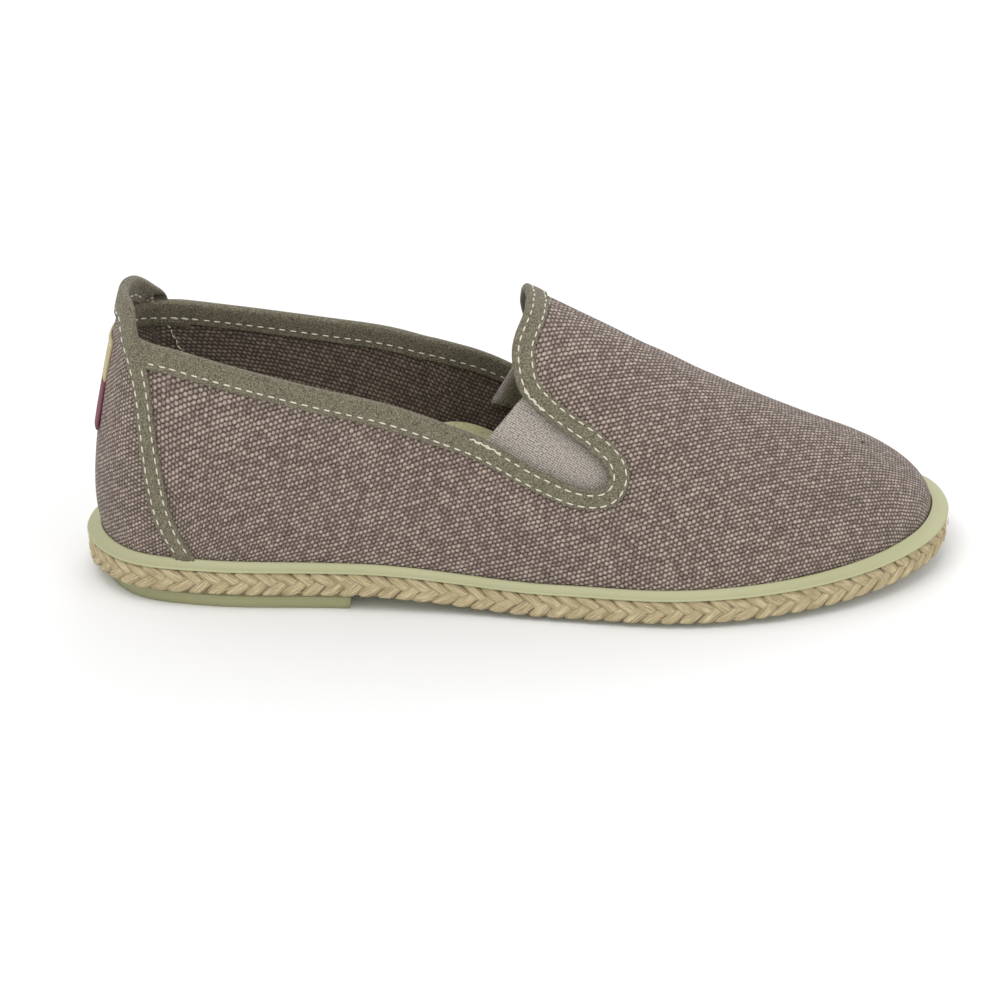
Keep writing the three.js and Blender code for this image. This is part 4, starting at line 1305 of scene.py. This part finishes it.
stitch_pitch = 3.6
tape_cloth = plain_material("cotton_tape", (0.2, 0.19, 0.14), 0.92)
tree = tape_cloth.node_tree
weave = weave_in(tree, 0.00062, 0.00052)
mottle = noise(tree, place_in(tree), 2000.0, 3.0, 0.75)
grain = maths(tree, "MULTIPLY_ADD", weave["Tint"], 0.3, 0.3)
share = maths(tree, "MULTIPLY_ADD", maths(tree, "SUBTRACT", mottle, 0.5), 3.3, grain)
tint = blend_of(tree, share, (0.068, 0.06, 0.037, 1), (0.315, 0.282, 0.204, 1))
relief = maths(tree, "MULTIPLY_ADD", weave["Relief"], 0.25, mottle)
shader = dress(tree, tint, relief, 0.7, 0.0004)
shader.inputs["Specular IOR Level"].default_value = 0.2
shader.inputs["Sheen Weight"].default_value = 0.12


def closed(piece):
    """A piece with the faces of its closed mesh turned outwards."""
    work = bmesh.new()
    work.from_mesh(piece.data)
    bmesh.ops.recalc_face_normals(work, faces=work.faces)
    work.to_mesh(piece.data)
    work.free()
    return piece


def taped(name, strip, section):
    """A closed length of tape: a section swept along a strip."""
    points, faces, uv = strip.swept(section)
    return closed(put_in(name, points, faces, tape_cloth, "cotton_tape", uv=uv))


ends = np.minimum(collar.run, collar.run[-1] - collar.run)
tucked = 0.4 * (1 - smoothstep(ends, 2.0, 5.0))
edge_place = collar.p[0]
by_gore = smoothstep(edge_place[:, 0], 104.0, 126.0)
outer_seam = 0.76 + 0.08 * by_gore
inner_seam = 0.27
two_rows = smoothstep(edge_place[:, 0], 122.0, 127.0)
collar_seams = ((outer_seam, 1.0), (inner_seam, two_rows))
collar_tape = taped("binding_collar", collar, tape_section(collar, collar_seams, stitch_pitch, tucked))
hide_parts("collar_tape")

# The gores' facings: flat lengths of the same cotton tape, sewn inside over the webbing's raw edges,
# short of its hemmed free edge. Their dark tape over the gores' insides is painted shade there.
facing_gap = 0.4
facing_thickness = 0.5
for side_name, is_lateral in (("lateral", True), ("medial", False)):
    facing, facing_uv = gore_points(is_lateral, elastic_thickness + facing_gap)
    facing, facing_uv = facing[web_ribs:], facing_uv[web_ribs:]
    facing_faces = grid_faces(web_rows - 1, web_ribs, closed_round=False)
    if is_lateral:
        facing_faces = facing_faces[:, ::-1]
    # The facing's dark tape paints the shade on the gore's inside.
    piece_name = "gore_shade_facing_" + side_name
    cover = put_in(piece_name, facing, facing_faces, tape_cloth, "cotton_tape", uv=facing_uv)
    thickened(cover, "facing_thickness", facing_thickness)

# The heel tape: the same cotton tape, one length that runs up one side of the heel, folded over the
# pull tab's edge, and down the other side, sewn flat over the ends of the collar's binding.
tab_edge_x = 19.6


def heel_front(lateral_side):
    """Front and back edges of the tape on one side of the heel, from the sole up to the tab, with
    stations counted from the heel's back: positive on the lateral side."""
    high = np.linspace(0.012, 0.9, 60)
    edges = []
    for k in (1, 2):
        line = smooth_loop(np.c_[heel_tape_rows[:, 0], heel_tape_rows[:, k] * sole_length], closed=False)
        x = np.interp(high, line[:, 0], line[:, 1])
        if not lateral_side:
            x = x + tab_skew * smoothstep(high, 0.6, 0.88) * tab_slope(rise_to(high))
        u, v = solve_side(x, rise_to(high), lateral_side, canted_line=False)
        edges.append((u if lateral_side else u - stations, v))
    return edges


def tab_half(sign):
    """The bound edge over half of the pull tab, from its side to its middle."""
    ribs = np.linspace(0, 3 * fine, 80)
    whole = np.arange(0, 3 * fine + 1)
    forward = 0.0 if sign > 0 else tab_skew
    side_line = forward_part.copy()
    side_line[:, 0] += forward * tab_slope(side_line[:, 1]) * smoothstep(side_line[:, 0], 10, 17)
    level = lambda x: np.interp(x, side_line[:, 0], side_line[:, 1])
    share = np.interp(ribs, whole, cross_rib(sign * whole, level))
    keep = on_last(sign * ribs, share)[:, 0] < tab_edge_x + forward
    return sign * ribs[keep][::-1], share[keep][::-1]


tab_u, tab_v = (np.concatenate([one, other[-2::-1]]) for one, other in zip(tab_half(1), tab_half(-1)))
tab_u, tab_v, _ = spaced(tab_u, tab_v, [], tape_step)
tab_u, tab_v = eased(tab_u, 2), eased(tab_v, 2)
tab_us, tab_vs, _ = levels_inwards(tab_u, tab_v, np.full(len(tab_u), 1.02 * tape_width), 1.0)
share_line = np.linspace(0, 1, len(tab_us))[:, None]
leg_us, leg_vs = [], []
for is_lateral in (True, False):
    (fu, fv), (bu, bv) = heel_front(is_lateral)
    leg_us.append(fu * (1 - share_line) + bu * share_line)
    leg_vs.append(fv * (1 - share_line) + bv * share_line)
heel_us = np.concatenate([leg_us[0], tab_us, leg_us[1][:, ::-1]], 1)
heel_vs = np.concatenate([leg_vs[0], tab_vs, leg_vs[1][:, ::-1]], 1)
heel_us, heel_vs = eased(heel_us.T).T, eased(heel_vs.T).T
heel_place = on_last(heel_us, heel_vs)
heel_width = np.linalg.norm(np.diff(heel_place, axis=0), axis=2).sum(0)
heel_tangent = unit(np.gradient(heel_place[0], axis=0))
heel_heading = unit(np.cross(last_normal(heel_us[0], heel_vs[0]), heel_tangent))
heel_strip = Strip(heel_us, heel_vs, heel_heading, heel_width)
number = np.arange(heel_us.shape[1])
first_tab = leg_us[0].shape[1]
last_tab = first_tab + len(tab_u)
on_tab = smoothstep(number, first_tab - 3, first_tab + 2)
on_tab = on_tab * (1 - smoothstep(number, last_tab - 3, last_tab + 2))
front_seam_sewn = 1 - smoothstep(heel_place[0][:, 2], 80, 84)
back_row, front_row = 0.82, 0.2
heel_seams = ((back_row, 1.0), (front_row, front_seam_sewn))
heel_section = tape_section(heel_strip, heel_seams, stitch_pitch, folded=on_tab, top=1.3)
heel_tape = taped("binding_heel", heel_strip, heel_section)
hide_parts("heel_tape")

# The inner band: a flat end of the same cotton tape that runs on inside, across the pull tab's foot,
# sewn down by one row and a tack in its middle.
band_top_height = 88.4
band_fall = 0.17
band_width = 9.2
band_ribs = np.linspace(-2.6 * fine, 2.6 * fine, 90)
band_whole = np.arange(-3 * fine, 3 * fine + 1)
band_line = cross_rib(band_whole, lambda x: band_top_height - band_fall * (x - 14))
band_u, band_v, _ = spaced(band_ribs, np.interp(band_ribs, band_whole, band_line), [], tape_step)
band_widths = np.full(len(band_u), band_width)
band_us, band_vs, band_heading = levels_inwards(band_u, band_v, band_widths, -1.0)
band = Strip(band_us, band_vs, band_heading, band_widths)
band_face = -canvas_thickness - 0.8
band_rows = [(0.0, -1.2), (1.0, -1.2), (1.0, band_face + 0.25), (0.97, band_face)]
band_rows += [(share, band_face - 0.05) for share in (0.86, 0.7)]
band_rows += [(0.64, band_face + 0.12), (0.58, band_face - 0.05), (0.3, band_face - 0.1)]
band_rows += [(0.04, band_face), (0.0, band_face + 0.25)]
taped("binding_inner", band, band_rows)

# The seams: machine lockstitches of cream cotton thread through tape and cloth, each a short length
# that dips at both ends. Close zigzags tack the ends of the gores' windows.
stitch_length = 2.6
stitch_radius = 0.27
stitch_rings = 7
stitch_sides = 6


def stitch_points(row, pitch=stitch_pitch, length=stitch_length, zigzag=0.0, first=0.0, last=None, seed=1):
    """Bent ellipsoids at a pitch along a row of places with their normals: the share along gives the
    place on the row, its square the dip, and the girth's angle the section. A zigzag moves every
    other one to the side."""
    place, normal = row
    run = run_of(place)
    last = run[-1] if last is None else last
    dice = np.random.default_rng(seed)
    middles = np.arange(first + pitch / 2, last - pitch / 2, pitch)
    middles = middles + dice.uniform(-0.12, 0.12, len(middles)) * pitch / 3
    share = np.linspace(-1, 1, stitch_rings)
    girth = np.linspace(0, 2 * math.pi, stitch_sides, endpoint=False)[None, None, :, None]
    along = middles[:, None] + share[None, :] * length / 2
    centre, up = rows_at(along, run, place), unit(rows_at(along, run, normal))
    ahead = unit(rows_at(along + 0.4, run, place) - rows_at(along - 0.4, run, place))
    side = unit(np.cross(up, ahead))
    swing = zigzag * np.where(np.arange(len(middles)) % 2 == 0, 1, -1)[:, None] * share[None, :]
    thick = stitch_radius * np.sqrt(np.clip(1.02 - np.abs(share) ** 3, 0, 1))[None, :, None, None]
    centre = centre + side * swing[..., None] + up * (0.12 - 0.34 * share**4)[None, :, None]
    ring = np.cos(girth) * side[:, :, None] + np.sin(girth) * up[:, :, None]
    return centre[:, :, None] + ring * thick


seam_parts = []


def sew(row, **settings):
    """Adds one row of stitches to the seams."""
    seam_parts.append(stitch_points(row, **settings))


def sew_inside(row, keep, **settings):
    """Adds the part of a row that is kept, its stitches turned to the inside."""
    place, normal = row
    sew((place[keep], -normal[keep]), **settings)


def rows_between(strip, keep, share, height):
    """A row along part of a strip, at a share of its width and a height."""
    place, normal = strip.at(share, height)
    return place[keep], normal[keep]


clear_of_heel = ends > 1.2
sewn_height = 0.78
inside_height = -canvas_thickness - tape_stand + 0.1
sew(rows_between(collar, clear_of_heel, outer_seam, sewn_height), seed=2)
gore_rows = edge_place[:, 0] > 127.0
sew(rows_between(collar, gore_rows, inner_seam, sewn_height), seed=3)
sew_inside(collar.at(inside_row, inside_height), clear_of_heel, seed=4)
on_lateral = edge_place[:, 1] < 0
for is_lateral in (True, False):
    this_side = on_lateral if is_lateral else ~on_lateral
    for x_from, x_to, z_from, z_to in ((126.0, 137.0, 0.0, 63.0), (140.6, 148.0, 66.0, 77.0)):
        tack = this_side & (edge_place[:, 0] > x_from) & (edge_place[:, 0] < x_to)
        tack &= (edge_place[:, 2] > z_from) & (edge_place[:, 2] < z_to)
        tack_row = rows_between(collar, tack, 0.22, sewn_height + 0.15)
        sew(tack_row, pitch=1.2, length=1.9, zigzag=0.35, seed=5)
heel_sewn = 1.13
sewn_from, sewn_to = 17.5, 83.0
heel_high = heel_place[0][:, 2]
sew(rows_between(heel_strip, heel_high > sewn_from, back_row, heel_sewn), seed=6)
for start, stop in ((0, first_tab), (last_tab, len(number))):
    on_leg = (number >= start) & (number < stop) & (heel_high > sewn_from) & (heel_high < sewn_to)
    sew(rows_between(heel_strip, on_leg, front_row, heel_sewn), seed=7)
seam_top, seam_foot = (26.7, 76.4), (36.0, 51.0)
seam_gap = 0.34
for is_lateral, ahead in ((True, -2.0), (False, 0.0)):
    seam_x, seam_z = np.linspace(seam_top, seam_foot, 40).T
    seam_u, seam_v = solve_side(seam_x + ahead, seam_z, is_lateral, canted_line=False)
    seam_normal = last_normal(seam_u, seam_v)
    seam_place = on_last(seam_u, seam_v) - seam_normal * (canvas_thickness + seam_gap)
    sew((seam_place, -seam_normal), pitch=2.3, length=1.9, zigzag=0.3, seed=8)
sew_inside(heel_strip.at(inside_row, inside_height), on_tab > 0.6, seed=9)
sew_inside(band.at(0.64, band_face + 0.08), slice(None), seed=10)
band_tack_y, band_tack_half = 6.0, 4.5
middle_of_band = np.abs(band.p[0][:, 1] - band_tack_y) < band_tack_half
sew_inside(band.at(0.6, band_face - 0.02), middle_of_band, pitch=1.3, length=1.8, zigzag=0.3, seed=11)

# The label: a plain woven ribbon, ochre above and burgundy below, with nothing on it. One row of
# stitches at its top holds it to the heel's back, and it hangs free below.
label_width = 16.0
label_height = 31.0
label_top = 0.84
label_thickness = 0.7
label_rows, label_ribs = 40, 21


def heel_back(y, z):
    """The last's place at a level across and a height on the heel's back, by Newton's steps."""
    u, v = -y / 2.2, 0.5 + 0 * z
    for _ in range(14):
        now = on_last(u, v)
        along, above = slopes(u, v)
        miss = np.stack([y - now[..., 1], z - now[..., 2]], -1)
        a, b, c, d = along[..., 1], above[..., 1], along[..., 2], above[..., 2]
        full = a * d - b * c
        u = u + np.clip((d * miss[..., 0] - b * miss[..., 1]) / full, -5, 5)
        v = np.clip(v + np.clip((a * miss[..., 1] - c * miss[..., 0]) / full, -0.1, 0.1), 0.02, 0.99)
    return on_last(u, v), last_normal(u, v)


def label_points():
    """A ribbon over the heel's back: across and down shares give the place on the last, pushed back
    along X by the stand, a slow wave and a slight curl at its free edge."""
    across, down = np.meshgrid(np.linspace(-1, 1, label_ribs), np.linspace(0, 1, label_rows))
    y = across * label_width / 2
    z = rise_to(label_top) - down * label_height
    place, normal = heel_back(y, z)
    wave = 0.18 * np.sin(down * 9.0 + across * 1.7) * down
    stand = wave * 0.5 + 0.2 * down**6 * (1 - 0.4 * across)
    place = place + normal * 0.45
    place[..., 0] -= stand
    uv = np.stack([(across + 1) * label_width / 2, down * label_height], -1)
    return place.reshape(-1, 3), uv.reshape(-1, 2)


ribbon = plain_material("label_ribbon", (0.3, 0.1, 0.15), 0.7)
tree = ribbon.node_tree
threads = threads_in(tree)
split = node_of(tree, "ShaderNodeSeparateXYZ", {0: threads})
ribs = maths(tree, "SINE", maths(tree, "MULTIPLY", split.outputs[1], 2 * math.pi / 0.0006))
picks = maths(tree, "SINE", maths(tree, "MULTIPLY", split.outputs[0], 2 * math.pi / 0.0005))
grain = maths(tree, "MULTIPLY_ADD", maths(tree, "MULTIPLY", ribs, picks), 0.3, 0.5)
fray = noise(tree, threads, 900.0, 2.0)
grain = maths(tree, "ADD", grain, maths(tree, "MULTIPLY_ADD", fray, 0.5, -0.25))
below = node_of(tree, "ShaderNodeMapRange", {0: split.outputs[1], 1: 0.0138, 2: 0.0142}).outputs[0]
ochre = blend_of(tree, grain, (0.34, 0.27, 0.13, 1), (0.62, 0.54, 0.32, 1))
burgundy = blend_of(tree, grain, (0.09, 0.018, 0.032, 1), (0.24, 0.055, 0.09, 1))
dress(tree, blend_of(tree, below, ochre, burgundy), grain, 0.5, 0.0002)

label_place, label_uv = label_points()
label_faces = grid_faces(label_rows, label_ribs, closed_round=False)
label = put_in("label_ribbon", label_place, label_faces, ribbon, "label", uv=label_uv)
thickened(label, "ribbon_thickness", label_thickness, offset=0)
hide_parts("heel_label")
top_line = label_place.reshape(label_rows, label_ribs, 3)[2]
label_normal = np.tile((-1.0, 0.0, 0.15), (label_ribs, 1))
sew((top_line + np.array([-0.35, 0, 0]), unit(label_normal)), pitch=2.4, length=1.8, seed=12)

thread = plain_material("cream_thread", (0.66, 0.62, 0.49), 0.7)
tree = thread.node_tree
fluff = noise(tree, place_in(tree), 2500.0, 2.0)
tint = blend_of(tree, fluff, (0.52, 0.48, 0.36, 1), (0.80, 0.77, 0.65, 1))
dress(tree, tint, fluff, 0.4, 0.0002)
seam_points = np.concatenate(seam_parts)
seam_faces = many_tubes(seam_points, stitch_rings, stitch_sides)
seams = closed(put_in("seam_stitches", seam_points.reshape(-1, 3), seam_faces, thread, "cotton_tape"))
